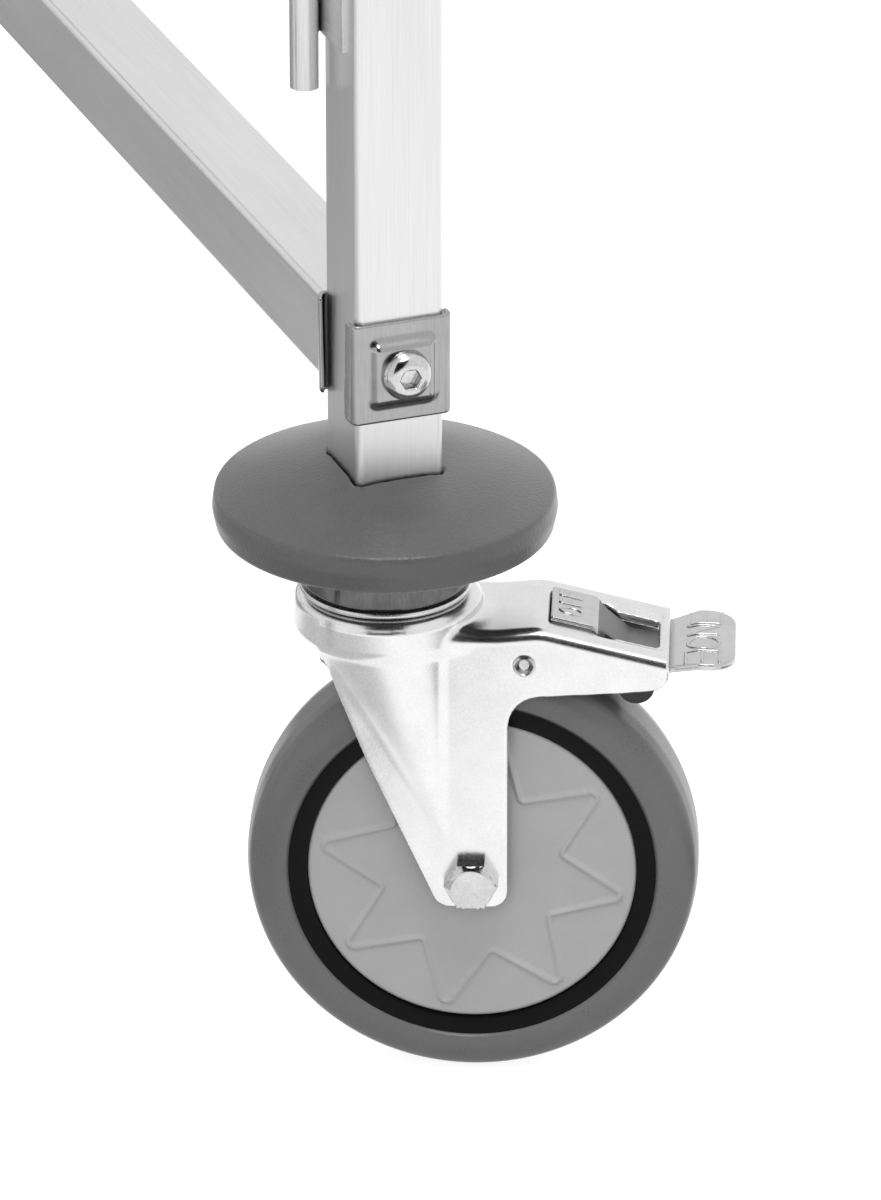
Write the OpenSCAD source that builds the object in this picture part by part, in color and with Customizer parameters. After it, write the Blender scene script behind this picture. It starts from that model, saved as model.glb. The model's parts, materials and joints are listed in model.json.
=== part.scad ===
// Gastronorm tray trolley: a bolted square-tube frame with seven pairs of tray runners, on four
// swivel castors with round bumper discs. The two castors at the stop end have ON and OFF brakes.
// Origin on the ground under the middle of the frame. X runs across, Y along the runners towards
// the loading end, Z up. A castor is drawn with its swivel axis on Z and its wheel towards +X.

/* [Frame] */
// Distance across the trolley between the posts' axes
frame_w = 360; // [352:1:420]
// Distance along the trolley between the posts' axes
frame_l = 525; // [480:5:640]
// Width of the square tube
tube_w = 25; // [23:0.5:28]
// Wall of the square tube
tube_wall = 1.5; // [1.2:0.1:2]
// Outer corner radius of the square tube
tube_r = 2; // [1.7:0.1:3]
// Height of the base rails' axis above the posts' feet
base_rail_rise = 52.7; // [50:0.5:65]
// Height of the top side rails' axis above the last tray ledge
top_side_rise = 42; // [35:1:80]
// Height of the cross rails' axes above the side rails' axes
top_cross_rise = 32; // [31:1:50]
// Height of the posts' ends above the top cross rails' axis
post_end_rise = 25; // [20:1:60]
// Thickness of the plate on a post cap
cap_h = 3; // [2:0.5:6]
// Length of the plug under a post cap
cap_plug_l = 14; // [8:1:20]
// Wall of the plug under a post cap
cap_plug_wall = 2; // [1.5:0.1:3]

/* [Corner joints] */
// Sheet of the saddle clips
clip_t = 1.4; // [1:0.1:1.6]
// Height of a saddle clip
clip_h = 29; // [26:0.5:32]
// Reach of an outer clip's wings along the tube
clip_wing = 8.5; // [5:0.5:11]
// Reach of a rail-end saddle's wings along the tube
saddle_wing = 3.5; // [2:0.5:5]
// Gap between a wing and the side of the tube
wing_gap = 0.6; // [0.3:0.1:0.8]
// Width of the square boss pressed out of an outer clip
boss_w = 18.5; // [16:0.5:20]
// Height of the pressed boss
boss_h = 19; // [16:0.5:20]
// Rise of the pressed boss
boss_rise = 2.4; // [1:0.1:3]
// Diameter of the frame bolts
bolt_d = 8; // [6:0.5:9]
// Length of the frame bolts under the head
bolt_l = 50; // [44:1:60]
// Diameter of a button head
button_d = 14; // [12:0.5:15]
// Height of a button head
button_h = 4.4; // [4:0.1:5]
// Width across the flats of the hexagon socket
socket_af = 5; // [4:0.5:6]
// Depth of the hexagon socket
socket_depth = 2.6; // [2:0.1:3]
// Length of the threaded plug inside a rail's end
insert_l = 16; // [10:1:20]

/* [Tray runners] */
// Number of tray levels
level_count = 7; // [4:1:9]
// Distance from one level to the next
level_pitch = 78; // [60:1:90]
// Height of the first ledge above the base rails' axis
first_ledge_rise = 117.3; // [90:1:160]
// Sheet of the runners
runner_t = 1; // [0.8:0.1:1.5]
// Height of a runner's web
runner_h = 27.5; // [20:0.5:40]
// Width of a runner's ledge
ledge_w = 14; // [10:0.5:15]
// Inner radius of a runner's bend
runner_bend_r = 1; // [0.5:0.1:2]
// Overrun of a runner past the posts' axes
runner_past = 5; // [2:0.5:10]
// Diameter of the upright stop rods
rod_d = 8; // [6:0.5:10]
// Distance from the posts' axes to the stop rods along the trolley
rod_step = 13.4; // [12:0.1:20]
// Overrun of a stop rod past the first and the last runner
rod_past = 15.5; // [5:0.5:25]

/* [Bumper discs] */
// Diameter of a bumper disc
bumper_d = 94.5; // [80:0.5:120]
// Height of the disc's widest line above the post's foot
bumper_mid = 7.9; // [6:0.1:10]
// Height of the crease over the rim above the post's foot
bumper_crease = 13; // [12:0.1:15]
// Height of the rim's bottom edge above the post's foot
bumper_low = 2; // [1:0.1:4]
// Rise of the dome from the crease to its top
bumper_dome = 8.2; // [5:0.1:12]
// Wall of the bumper disc
bumper_wall = 4; // [3:0.1:5]
// Diameter of the hub under the disc
bumper_hub_d = 42; // [40:1:50]
// Number of ribs under the disc
bumper_ribs = 8; // [4:1:12]
// Thickness of a rib under the disc
bumper_rib_t = 2; // [1.5:0.1:4]
// Gap between the disc and the post
bumper_gap = 0.4; // [0.3:0.05:0.8]

/* [Castor fork] */
// Angle of the braked castors away from straight across the trolley
castor_yaw = 23; // [0:1:45]
// Angle of the plain castors away from straight across the trolley
plain_yaw = 28.4; // [0:0.1:45]
// Distance from the swivel axis to the axle
trail = 24.3; // [20:0.1:30]
// Headroom between the tyre and the top of the fork's crown
crown_rise = 18.3; // [17:0.1:25]
// Radius of the fork's round crown
crown_r = 24.8; // [23.5:0.1:27]
// Width of the sloping edge round the top of the crown
crown_edge = 1.6; // [1:0.1:2.4]
// Drop of the crown's upright wall below its top
drum_drop = 11.8; // [10:0.1:13]
// Drop of the skirt's lower edge below the crown's top
skirt_drop = 18.3; // [17:0.1:19]
// Radius of the skirt's lower edge
skirt_r = 19.2; // [19:0.1:20]
// Drop of the lower end of a cheek's bulge below the crown's top
bulge_drop = 66.3; // [55:0.1:75]
// Width of the fork over its cheeks
fork_w = 37; // [36:0.5:40]
// Sheet of the fork
fork_t = 2.5; // [2:0.1:3]
// Half width of a cheek at the axle
cheek_half = 10; // [9:0.5:12]
// Reach of a cheek under the axle
cheek_drop = 8.4; // [8:0.1:12]
// Half width of a cheek under the crown
cheek_root = 16; // [14:0.5:17]
// Length of the nose from the swivel axis to its end
nose_l = 78; // [74:0.5:84]
// Drop of the nose's end below the crown
nose_end_drop = 13; // [11:0.5:14]
// Distance from the swivel axis to where the nose starts to slope down
nose_bend = 43; // [38:1:46]
// Drop of the nose below the crown where it starts to slope down
nose_bend_drop = 4.7; // [3:0.1:6]
// Distance from the swivel axis to the hollow between crown and nose
nose_hollow = 31; // [29:1:34]
// Drop of that hollow below the crown
nose_hollow_drop = 5.9; // [4:0.1:7]
// Drop of the nose's lower edge below the crown at the cheek
nose_root_drop = 25.2; // [24:0.1:27]
// Drop of the nose's lower edge below the crown at its end
nose_tip_drop = 21.7; // [20:0.1:23]
// Radius of the hollow corner between cheek and nose
nose_root_r = 9; // [6:0.5:11]
// Radius of the nose's lower corner
nose_tip_r = 5; // [3:0.5:6]
// Radius of a cheek's lower corners
cheek_r = 5.5; // [4:0.5:7]

/* [Castor head] */
// Gap between the crown and the upper race
race_gap = 0.7; // [0.5:0.1:1]
// Height of the upper race
race_h = 16; // [13:0.5:20]
// Diameter of the upper race's cup
race_d = 39.6; // [38:0.2:42]
// Diameter of the upper race's flange
race_flange_d = 46.8; // [44:0.2:48]
// Thickness of the upper race's flange
race_flange_t = 1.6; // [1:0.1:3]
// Wall of the upper race
race_wall = 2.3; // [2:0.1:3]
// Diameter of the swivel balls
ball_d = 6; // [5:0.5:7]
// Number of balls in one castor
ball_count = 12; // [6:1:12]
// Outer diameter of the hollow king rivet
king_d = 16; // [15:0.5:17]
// Diameter of the king rivet's head
king_head_d = 26; // [22:0.5:28]
// Height of the king rivet's head
king_head_h = 6; // [4:0.5:6.5]
// Diameter of the expander bolt
stem_d = 12; // [10:0.5:12]
// Width across the flats of the expander bolt's head
stem_af = 18; // [15:0.5:19]
// Height of the expander bolt's head
stem_head_h = 7.4; // [6:0.1:8]
// Length of the expander sleeve in the post
sleeve_l = 35.5; // [25:0.5:37]
// Height of the expander nut over the sleeve
expander_nut_h = 8; // [6:0.5:9]

/* [Wheel] */
// Diameter of the wheel
wheel_d = 125; // [110:1:150]
// Width of the tyre
tyre_w = 27; // [24:0.5:28]
// Height of the tyre's rubber over the rim
tyre_h = 11; // [8:0.5:14]
// Radius of the tyre's shoulders
shoulder_r = 8; // [3:0.5:9]
// Distance of the rim's side face from the tyre's side face
rim_inset = 0.9; // [0.5:0.1:2]
// Width of the rim's black ring
rim_ring = 5.6; // [4:0.1:8]
// Thickness of the wheel's web
web_t = 5; // [4:0.5:8]
// Diameter of the wheel's hub
hub_d = 20; // [18:0.5:30]
// Length of the wheel's hub
hub_l = 30.6; // [29:0.1:31.4]
// Thickness of a hub cover
cover_t = 1.6; // [1.2:0.1:2.5]
// Depth of the ledge that a cover sits on
cover_seat = 2; // [1:0.1:3]
// Depth of the covers' faces inside the rim's edges
cover_inset = 0.7; // [0.4:0.1:1.5]
// Number of points of the star on a cover
star_points = 8; // [5:1:12]
// Radius of the star's points
star_r = 42.9; // [30:0.1:43.5]
// Radius of the star's inner corners
star_in_r = 26; // [18:0.1:28]
// Width of the star's raised line
star_line = 1.2; // [0.8:0.1:2]
// Rise of the star's line over the cover
star_rise = 0.4; // [0.2:0.05:0.4]
// Turn of the star from the wheel's level line
star_turn = 35; // [0:1:44]
// Diameter of the axle bolt
axle_d = 8; // [7:0.5:9]
// Width across the flats of the axle bolt and its nut
axle_af = 13; // [11:0.5:14]
// Height of the axle bolt's head
axle_head_h = 5.3; // [4:0.1:6]
// Height of the axle nut
axle_nut_h = 7.5; // [6:0.1:9]
// Outer diameter of the sleeve round the axle bolt
axle_sleeve_d = 13; // [12:0.5:14]

/* [Brake] */
// Sheet of the pedal and the brake arm
pedal_t = 2; // [1.5:0.1:2.2]
// Distance from the swivel axis to the pedal's pin
pedal_pin_x = 60; // [59:0.5:61]
// Drop of the pedal's pin below the crown
pedal_pin_drop = 17.3; // [17:0.1:18]
// Diameter of the pedal's pin
pedal_pin_d = 5; // [4:0.5:5]
// Radius of the pedal's ears round their pin
pedal_ear_r = 3.6; // [3.3:0.1:3.8]
// Width of the OFF tab
tab_w = 20; // [16:0.5:21]
// Width of the pedal's neck in the window
neck_w = 15.6; // [14:0.2:16]
// Width of the ON tongue
tongue_w = 35.4; // [26:0.2:40]
// Width of the ON tongue where it leaves the nose
tongue_root_w = 31.2; // [24:0.2:31.4]
// Radius of the ON tongue's outer corners
tongue_r = 7.5; // [5:0.5:8]
// Distance from the swivel axis to the ON tongue's end
tongue_end = 96.1; // [92:0.1:100]
// Distance from the swivel axis to the brake rivet
rivet_x = 38.6; // [38:0.1:39.5]
// Drop of the brake rivet below the crown
rivet_drop = 15.1; // [14:0.1:15.4]
// Diameter of the brake rivet
rivet_d = 4.5; // [4:0.1:5]
// Diameter of the brake rivet's heads
rivet_head_d = 6.2; // [6:0.1:8]
// Height of the brake rivet's heads
rivet_head_h = 0.9; // [0.6:0.1:1.5]
// Wall of the brake arm's barrel
barrel_wall = 1.2; // [1:0.1:1.3]
// Length of the brake arm's barrel
barrel_l = 28; // [24:0.5:30]
// Width of the brake arm
arm_w = 16; // [12:0.5:20]
// Width of the brake pad
pad_w = 14; // [10:0.5:16]
// Length of the brake pad
pad_l = 10; // [8:0.5:10.4]
// Rise of the brake pad's rounded foot over the brake pad's centre line
pad_foot_drop = 26.3; // [25:0.1:27]

/* [Fits] */
// Radial clearance of pins and shafts that turn
running_gap = 0.05; // [0.02:0.01:0.1]
// Radial clearance round bolts in their holes
bolt_gap = 0.2; // [0.05:0.05:0.5]
// Clearance of plugs in the square tube
plug_gap = 0.05; // [0.05:0.01:0.3]
// Clearance between covers and what they sit in
seat_gap = 0.2; // [0.1:0.05:0.3]

/* [Hidden] */
$fn = 64;
arc_steps = 6;
overrun = 1;
quarter = 90;

corner_names = ["front_right", "front_left", "rear_right", "rear_left"];
corner_side = [1, -1, 1, -1];
corner_end = [-1, -1, 1, 1];
braked_names = ["front_right", "front_left"];
ends = [-1, 1];

// Heights from the ground up
axle_z = wheel_d / 2;
crown_z = wheel_d + crown_rise;
race_z = crown_z + race_gap;
foot_z = race_z + race_h;
base_z = foot_z + base_rail_rise;
first_ledge_z = base_z + first_ledge_rise;
last_ledge_z = first_ledge_z + (level_count - 1) * level_pitch;
top_side_z = last_ledge_z + top_side_rise;
top_cross_z = top_side_z + top_cross_rise;
base_cross_z = base_z + top_cross_rise;
post_end_z = top_cross_z + post_end_rise;

// Frame
post_x = frame_w / 2;
post_y = frame_l / 2;
tube_half = tube_w / 2;
tube_in = tube_w - 2 * tube_wall;
tube_in_r = max(tube_r - tube_wall, tube_r / 10);
rail_reach = tube_half + clip_t;
clip_face = tube_half + clip_t + boss_rise;
web_x = post_x - tube_half - runner_t / 2;
rod_x = post_x - tube_half - runner_t - rod_d / 2;
rod_y = post_y - rod_step;
ledge_start = rod_y - rod_d / 2 - bolt_gap * 3;

// One entry for each bolted joint: its place, the way it faces and its roll
joint_list = concat(
    [for (x = ends, y = ends, z = [base_z, top_side_z]) [[x * post_x, y * post_y, z], y * quarter, 0]],
    [for (x = ends, y = ends) [[x * post_x, y * post_y, top_cross_z], x > 0 ? 0 : 2 * quarter, 0]],
    [for (x = ends) [[x * post_x, post_y, base_cross_z], x > 0 ? 0 : 2 * quarter, 0]]
);

// Castor head
stem_r = stem_d / 2;
king_r = king_d / 2;
ball_r = ball_d / 2;
ball_z = crown_z + ball_r + running_gap;
ball_pitch_r = (king_r + race_d / 2 - race_wall) / 2;
race_roof = ball_z + ball_r + running_gap;
king_head_z = crown_z - fork_t - running_gap;
stem_head_z = king_head_z - king_head_h;
sleeve_z = foot_z + plug_gap;
expander_nut_z = sleeve_z + sleeve_l + plug_gap;
plug_w = tube_in - 2 * plug_gap;

// Fork
cheek_x = fork_w / 2;
inner_w = fork_w - 2 * fork_t;
drum_z = crown_z - drum_drop;
skirt_z = crown_z - skirt_drop;
bulge_z = crown_z - bulge_drop;
bulge_x = sqrt(crown_r * crown_r - cheek_x * cheek_x);
shoulder_z = (drum_z + skirt_z) / 2;
cheek_low_z = axle_z - cheek_drop;
nose_bottom_root = crown_z - nose_root_drop;
nose_bottom_tip = crown_z - nose_tip_drop;
nose_end_z = crown_z - nose_end_drop;
nose_bend_z = crown_z - nose_bend_drop;
nose_hollow_z = crown_z - nose_hollow_drop;
cheek_top_x = crown_r * 0.54;
cheek_toe_x = trail - cheek_half * 0.94;
crown_flat_x = crown_r * 0.83;
plain_cheek_z = axle_z + (crown_z - axle_z) * 0.5;

// Window for the pedal in the nose
window_gap = 1;
window_reach = 4 * fork_t;
window_start = 45.2 / 78 * nose_l;

// Wheel
rim_r = wheel_d / 2 - tyre_h;
cover_hole_r = rim_r - rim_ring;
rim_half = tyre_w / 2 - rim_inset;
seat_half = rim_half - cover_t - cover_inset;
cover_r = cover_hole_r - seat_gap;
cover_face = seat_half + cover_t;
hub_r = hub_d / 2;
axle_r = axle_d / 2;
axle_sleeve_r = axle_sleeve_d / 2;

// Brake, in heights over the ground
pin_z = crown_z - pedal_pin_drop;
pin_r = pedal_pin_d / 2;
rivet_z = crown_z - rivet_drop;
rivet_r = rivet_d / 2;
barrel_r = rivet_r + running_gap + barrel_wall;
strip_floor = nose_end_z - fork_t;
pedal_low = strip_floor - pedal_t / 2 - 0.25 * pedal_t;
pad_r = pad_l / 2;
pad_x = rivet_x + 30.4;
pad_z = crown_z - pad_foot_drop;
pad_top = pedal_low - pedal_t * 0.65;
arm_end = pad_x + pad_r * 0.3;

function unit(v) = v / norm(v);
function angle_of(v) = atan2(v[1], v[0]);
function short_turn(a) = a > 2 * quarter ? a - 4 * quarter : a < -2 * quarter ? a + 4 * quarter : a;
function flat(p) = [p[0], p[1]];

// Points of the arc of radius r that rounds the corner b between a and c
function corner_arc(a, b, c, r) =
    let (u = unit(a - b), v = unit(c - b))
    let (half = acos(max(-1, min(1, u * v))) / 2)
    let (centre = b + unit(u + v) * r / sin(half))
    let (start = b + u * r / tan(half), end = b + v * r / tan(half))
    let (from = angle_of(start - centre))
    let (sweep = short_turn(angle_of(end - centre) - from))
    [for (i = [0:arc_steps])
        centre + r * [cos(from + sweep * i / arc_steps), sin(from + sweep * i / arc_steps)]];

// Closed outline through corners given as [x, y, radius]
function rounded(p) =
    [for (i = [0:len(p) - 1])
        let (before = p[(i + len(p) - 1) % len(p)], after = p[(i + 1) % len(p)])
        each p[i][2] > 0 ? corner_arc(flat(before), flat(p[i]), flat(after), p[i][2]) : [flat(p[i])]];

// Open line through points given as [x, y, radius]
function bent(p) =
    [for (i = [0:len(p) - 1])
        each i == 0 || i == len(p) - 1 || p[i][2] == 0
            ? [flat(p[i])]
            : corner_arc(flat(p[i - 1]), flat(p[i]), flat(p[i + 1]), p[i][2])];

// Side step of length 1 from a line at its point i
function left_of(v) = [-v[1], v[0]];
function side_step(line, i) =
    let (last = len(line) - 1)
    let (n1 = left_of(unit(line[max(i, 1)] - line[max(i, 1) - 1])))
    let (n2 = left_of(unit(line[min(i, last - 1) + 1] - line[min(i, last - 1)])))
    (n1 + n2) / (1 + n1 * n2);

// Outline of a sheet of thickness t whose middle follows a line
function sheet(line, t) =
    concat(
        [for (i = [0:len(line) - 1]) line[i] + side_step(line, i) * t / 2],
        [for (i = [len(line) - 1:-1:0]) line[i] - side_step(line, i) * t / 2]
    );

module rounded_square(w, r) {
    square([w, w - 2 * r], center = true);
    square([w - 2 * r, w], center = true);
    for (x = ends, y = ends) {
        translate([x * (w / 2 - r), y * (w / 2 - r)]) circle(r = r);
    }
}

// Square tube upwards from the origin
module square_tube(l) {
    linear_extrude(l) difference() {
        rounded_square(tube_w, tube_r);
        rounded_square(tube_in, tube_in_r);
    }
}

// Lays a flat shape in the XZ plane and gives it the width w along Y
module across(w) {
    rotate([quarter, 0, 0]) translate([0, 0, -w / 2]) linear_extrude(w) children();
}

// Turns a shape on Z onto the Y axis, with its +Z end towards -Y
module on_y(x, z) {
    translate([x, 0, z]) rotate([quarter, 0, 0]) children();
}

module at_joint(j) {
    translate(j[0]) rotate([0, 0, j[1]]) rotate([j[2], 0, 0]) children();
}

// Turns a shape on Z onto the X axis
module on_x() {
    rotate([0, quarter, 0]) children();
}

module bolt_hole(l) {
    translate([0, 0, -l / 2]) cylinder(r = bolt_d / 2 + bolt_gap, h = l);
}

module at_corner(i) {
    translate([corner_side[i] * post_x, corner_end[i] * post_y, 0]) children();
}

// The braked castors trail outwards and a little forwards, the plain ones inwards and a little back
function castor_turn(i) =
    i < len(braked_names) ? -castor_yaw + (corner_side[i] > 0 ? 0 : 2 * (quarter + castor_yaw))
                          : plain_yaw + (corner_side[i] > 0 ? 2 * (quarter - plain_yaw) : 0);

module at_castor(i) {
    at_corner(i) rotate([0, 0, castor_turn(i)]) children();
}

module at_all_corners() {
    for (i = [0:len(corner_names) - 1]) at_corner(i) children();
}

module at_all_castors() {
    for (i = [0:len(corner_names) - 1]) at_castor(i) children();
}

module post(i) {
    hole_l = tube_w + 2 * overrun;
    color("silver") difference() {
        at_corner(i) translate([0, 0, foot_z]) square_tube(post_end_z - foot_z);
        at_corner(i) {
            on_y(0, base_z) bolt_hole(hole_l);
            on_y(0, top_side_z) bolt_hole(hole_l);
            translate([0, 0, top_cross_z]) on_x() bolt_hole(hole_l);
            if (corner_end[i] > 0) translate([0, 0, base_cross_z]) on_x() bolt_hole(hole_l);
        }
    }
}

module side_rail(side, z) {
    l = frame_l - 2 * rail_reach;
    color("silver") translate([side * post_x, l / 2, z]) rotate([quarter, 0, 0]) square_tube(l);
}

module cross_rail(y, z) {
    l = frame_w - 2 * rail_reach;
    color("silver") translate([-l / 2, y, z]) on_x() square_tube(l);
}

// Bent plate that hugs the outside of the tube, facing +X
module clip_plate(wing) {
    plate_x = tube_half + clip_t / 2;
    wing_y = tube_half + wing_gap + clip_t / 2;
    bend_r = clip_t * 1.2;
    line = bent([
        [tube_half - wing, -wing_y, 0],
        [plate_x, -wing_y, bend_r],
        [plate_x, wing_y, bend_r],
        [tube_half - wing, wing_y, 0]
    ]);
    translate([0, 0, -clip_h / 2]) linear_extrude(clip_h) polygon(sheet(line, clip_t));
}

module corner_clip() {
    skin = 2 * clip_t;
    hollow_l = overrun + boss_rise;
    difference() {
        union() {
            clip_plate(clip_wing);
            translate([clip_face / 2 + tube_half / 2, 0, 0])
                cube([clip_face - tube_half, boss_w, boss_h], center = true);
        }
        translate([tube_half + boss_rise - hollow_l / 2, 0, 0])
            cube([hollow_l, boss_w - skin, boss_h - skin], center = true);
        translate([tube_half, 0, 0]) on_x() bolt_hole(2 * clip_face);
    }
}

module corner_clips() {
    color("silver") for (j = joint_list) at_joint(j) corner_clip();
}

module rail_end_saddles() {
    color("silver") for (j = joint_list) at_joint(j) rotate([0, 0, 2 * quarter]) difference() {
        clip_plate(saddle_wing);
        translate([tube_half, 0, 0]) on_x() bolt_hole(tube_half);
    }
}

// Button-head bolt whose head sits on the clip's boss
module frame_bolt() {
    crown_share = 0.42;
    head = [
        [0, 0, 0],
        [button_d / 2, 0, 0],
        [button_d / 2, button_h * crown_share, button_h * crown_share],
        [button_d * crown_share / 1.2, button_h, button_h * crown_share],
        [0, button_h, 0]
    ];
    translate([clip_face, 0, 0]) on_x() difference() {
        union() {
            rotate_extrude() polygon(rounded(head));
            translate([0, 0, -bolt_l]) cylinder(r = bolt_d / 2, h = bolt_l);
        }
        translate([0, 0, button_h - socket_depth])
            cylinder(d = socket_af / cos(quarter / 3), h = socket_depth + overrun, $fn = 6);
    }
}

module frame_bolts() {
    color("gainsboro") for (j = joint_list) at_joint(j) frame_bolt();
}

module threaded_inserts() {
    color("gray") for (j = joint_list) at_joint(j) translate([-rail_reach - insert_l, 0, 0]) on_x() difference() {
        linear_extrude(insert_l) rounded_square(plug_w, tube_in_r);
        translate([0, 0, -overrun]) cylinder(r = bolt_d / 2 + running_gap, h = insert_l + 2 * overrun);
    }
}

module post_caps() {
    edge_r = cap_h * 0.4;
    top = [
        [-tube_half, 0, 0],
        [tube_half, 0, 0],
        [tube_half, cap_h, edge_r],
        [-tube_half, cap_h, edge_r]
    ];
    color("dimgray") at_all_corners() translate([0, 0, post_end_z]) {
        intersection() {
            linear_extrude(cap_h) rounded_square(tube_w, tube_r);
            across(tube_w) polygon(rounded(top));
            rotate([0, 0, quarter]) across(tube_w) polygon(rounded(top));
        }
        translate([0, 0, -cap_plug_l]) linear_extrude(cap_plug_l) difference() {
            rounded_square(plug_w, tube_in_r);
            rounded_square(plug_w - 2 * cap_plug_wall, tube_in_r);
        }
    }
}

// Runner: an upright web on the posts with a ledge at its top, turned inwards
module runner(side, ledge_z) {
    l = frame_l + 2 * runner_past;
    middle_z = ledge_z - runner_t / 2;
    line = bent([
        [web_x, ledge_z - runner_h, 0],
        [web_x, middle_z, runner_bend_r + runner_t / 2],
        [web_x + runner_t / 2 - ledge_w, middle_z, 0]
    ]);
    notch_w = ledge_w + runner_t;
    difference() {
        rotate([0, 0, side > 0 ? 0 : 2 * quarter]) across(l) polygon(sheet(line, runner_t));
        translate([
            side * (web_x - runner_t / 2 - notch_w / 2),
            -ledge_start - l / 2,
            ledge_z - runner_bend_r
        ])
            cube([notch_w, l, 2 * runner_h], center = true);
    }
}

module runners(side) {
    color("gainsboro") for (i = [0:level_count - 1]) runner(side, first_ledge_z + i * level_pitch);
}

module stop_rods() {
    low_z = first_ledge_z - runner_h - rod_past;
    high_z = last_ledge_z + rod_past;
    color("silver") for (x = ends) {
        translate([x * rod_x, -rod_y, low_z]) cylinder(d = rod_d, h = high_z - low_z);
    }
}

// Domed disc with a rounded rim, hollow underneath, round the foot of each post
function dome_z(r) =
    let (crease_r = bumper_d / 2 - bumper_edge)
    let (ball = (crease_r * crease_r + bumper_dome * bumper_dome) / (2 * bumper_dome))
    bumper_crease + bumper_dome - ball + sqrt(ball * ball - r * r);
bumper_edge = 1;
dome_steps = 8;

// Point at height z on the bulging rim, which is widest at bumper_mid
function rim_point(z) =
    let (share = (z - bumper_mid) / (bumper_crease - bumper_mid))
    [bumper_d / 2 - bumper_edge * share * share, z];

module bumper_disc() {
    rim_r_out = bumper_d / 2;
    crease_r = rim_r_out - bumper_edge;
    in_r = rim_r_out - bumper_wall - bumper_edge;
    hub_r_out = bumper_hub_d / 2;
    rib_low = bumper_low + bumper_edge;
    outline = concat(
        [for (i = [0:dome_steps]) let (r = crease_r * i / dome_steps) [r, dome_z(r)]],
        [for (i = [1:dome_steps]) rim_point(bumper_crease + (bumper_low - bumper_crease) * i / dome_steps)],
        [[in_r, bumper_low]],
        [for (i = [dome_steps:-1:0]) let (r = in_r * i / dome_steps) [r, dome_z(r) - bumper_wall]]
    );
    difference() {
        union() {
            rotate_extrude() polygon(outline);
            cylinder(r = hub_r_out, h = bumper_crease);
            for (i = [0:bumper_ribs - 1]) rotate([0, 0, i * 4 * quarter / bumper_ribs])
                translate([hub_r_out - bumper_edge, -bumper_rib_t / 2, rib_low])
                    cube([in_r - hub_r_out + 2 * bumper_edge, bumper_rib_t, dome_z(in_r) - bumper_wall / 2 - rib_low]);
        }
        translate([0, 0, -overrun])
            linear_extrude(bumper_crease + bumper_dome + 2 * overrun)
                rounded_square(tube_w + 2 * bumper_gap, tube_r + bumper_gap);
    }
}

module bumper_discs() {
    color("gray") at_all_corners() translate([0, 0, foot_z]) bumper_disc();
}

module expander_bolts() {
    shank_l = expander_nut_z + expander_nut_h - stem_head_z;
    color("darkgray") at_all_corners() {
        translate([0, 0, stem_head_z]) cylinder(r = stem_r, h = shank_l);
        translate([0, 0, stem_head_z - stem_head_h])
            cylinder(d = stem_af / cos(quarter / 3), h = stem_head_h, $fn = 6);
    }
}

// Square plug with a round bore, from height z up
module stem_plug(z, h) {
    at_all_corners() translate([0, 0, z]) difference() {
        linear_extrude(h) rounded_square(plug_w, tube_in_r);
        translate([0, 0, -overrun]) cylinder(r = stem_r + running_gap, h = h + 2 * overrun);
    }
}

module expander_sleeves() {
    color("dimgray") stem_plug(sleeve_z, sleeve_l);
}

module expander_nuts() {
    color("darkgray") stem_plug(expander_nut_z, expander_nut_h);
}

module upper_races() {
    bore_r = king_r + running_gap;
    cup_r = race_d / 2;
    in_r = cup_r - race_wall;
    roof = race_roof - race_z;
    fillet = race_flange_t / 2;
    cup = [
        [bore_r, roof, 0],
        [in_r, roof, fillet],
        [in_r, 0, 0],
        [race_flange_d / 2, 0, 0],
        [race_flange_d / 2, race_flange_t, fillet],
        [cup_r, race_flange_t + fillet, fillet],
        [cup_r, race_h, fillet],
        [bore_r, race_h, 0]
    ];
    color("silver") at_all_corners() translate([0, 0, race_z]) rotate_extrude() polygon(rounded(cup));
}

// Hollow rivet that holds race, balls and crown together
module king_rivets() {
    bore_r = stem_r + running_gap;
    rivet = [
        [bore_r, stem_head_z],
        [king_head_d / 2, stem_head_z],
        [king_head_d / 2, king_head_z],
        [king_r, king_head_z],
        [king_r, foot_z],
        [bore_r, foot_z]
    ];
    color("darkgray") at_all_corners() rotate_extrude() polygon(rivet);
}

module swivel_balls() {
    color("gainsboro") at_all_corners() for (i = [0:ball_count - 1])
        rotate([0, 0, i * 4 * quarter / ball_count]) translate([ball_pitch_r, 0, ball_z]) sphere(r = ball_r);
}

// Cheek outlines, seen from the side
cheek_left = [
    [-cheek_top_x, crown_z - fork_t / 2, 0],
    [-cheek_root, shoulder_z, cheek_r],
    [cheek_toe_x, cheek_low_z, cheek_r],
    [trail + cheek_half, cheek_low_z, cheek_r]
];
nose_right = [
    [trail + cheek_half, nose_bottom_root, nose_root_r],
    [nose_l, nose_bottom_tip, nose_tip_r],
    [nose_l, nose_end_z, 0],
    [nose_bend, nose_bend_z, nose_root_r],
    [nose_hollow, nose_hollow_z, nose_root_r / 2],
    [crown_flat_x, crown_z, 0]
];
plain_right = [
    [trail + cheek_half, plain_cheek_z, cheek_r],
    [cheek_root, shoulder_z, cheek_r],
    [cheek_top_x, crown_z - fork_t / 2, 0]
];
nose_inside = [
    [-crown_r - overrun, cheek_low_z - overrun],
    [nose_l + overrun, cheek_low_z - overrun],
    [nose_l + overrun, nose_end_z - fork_t],
    [nose_bend, nose_bend_z - fork_t],
    [nose_hollow, nose_hollow_z - fork_t],
    [crown_flat_x, crown_z - fork_t],
    [0, crown_z - fork_t],
    [0, skirt_z],
    [-crown_r - overrun, skirt_z]
];
plain_inside = [
    [-crown_r - overrun, cheek_low_z - overrun],
    [crown_r + trail, cheek_low_z - overrun],
    [crown_r + trail, skirt_z],
    [-crown_r - overrun, skirt_z]
];

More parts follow.
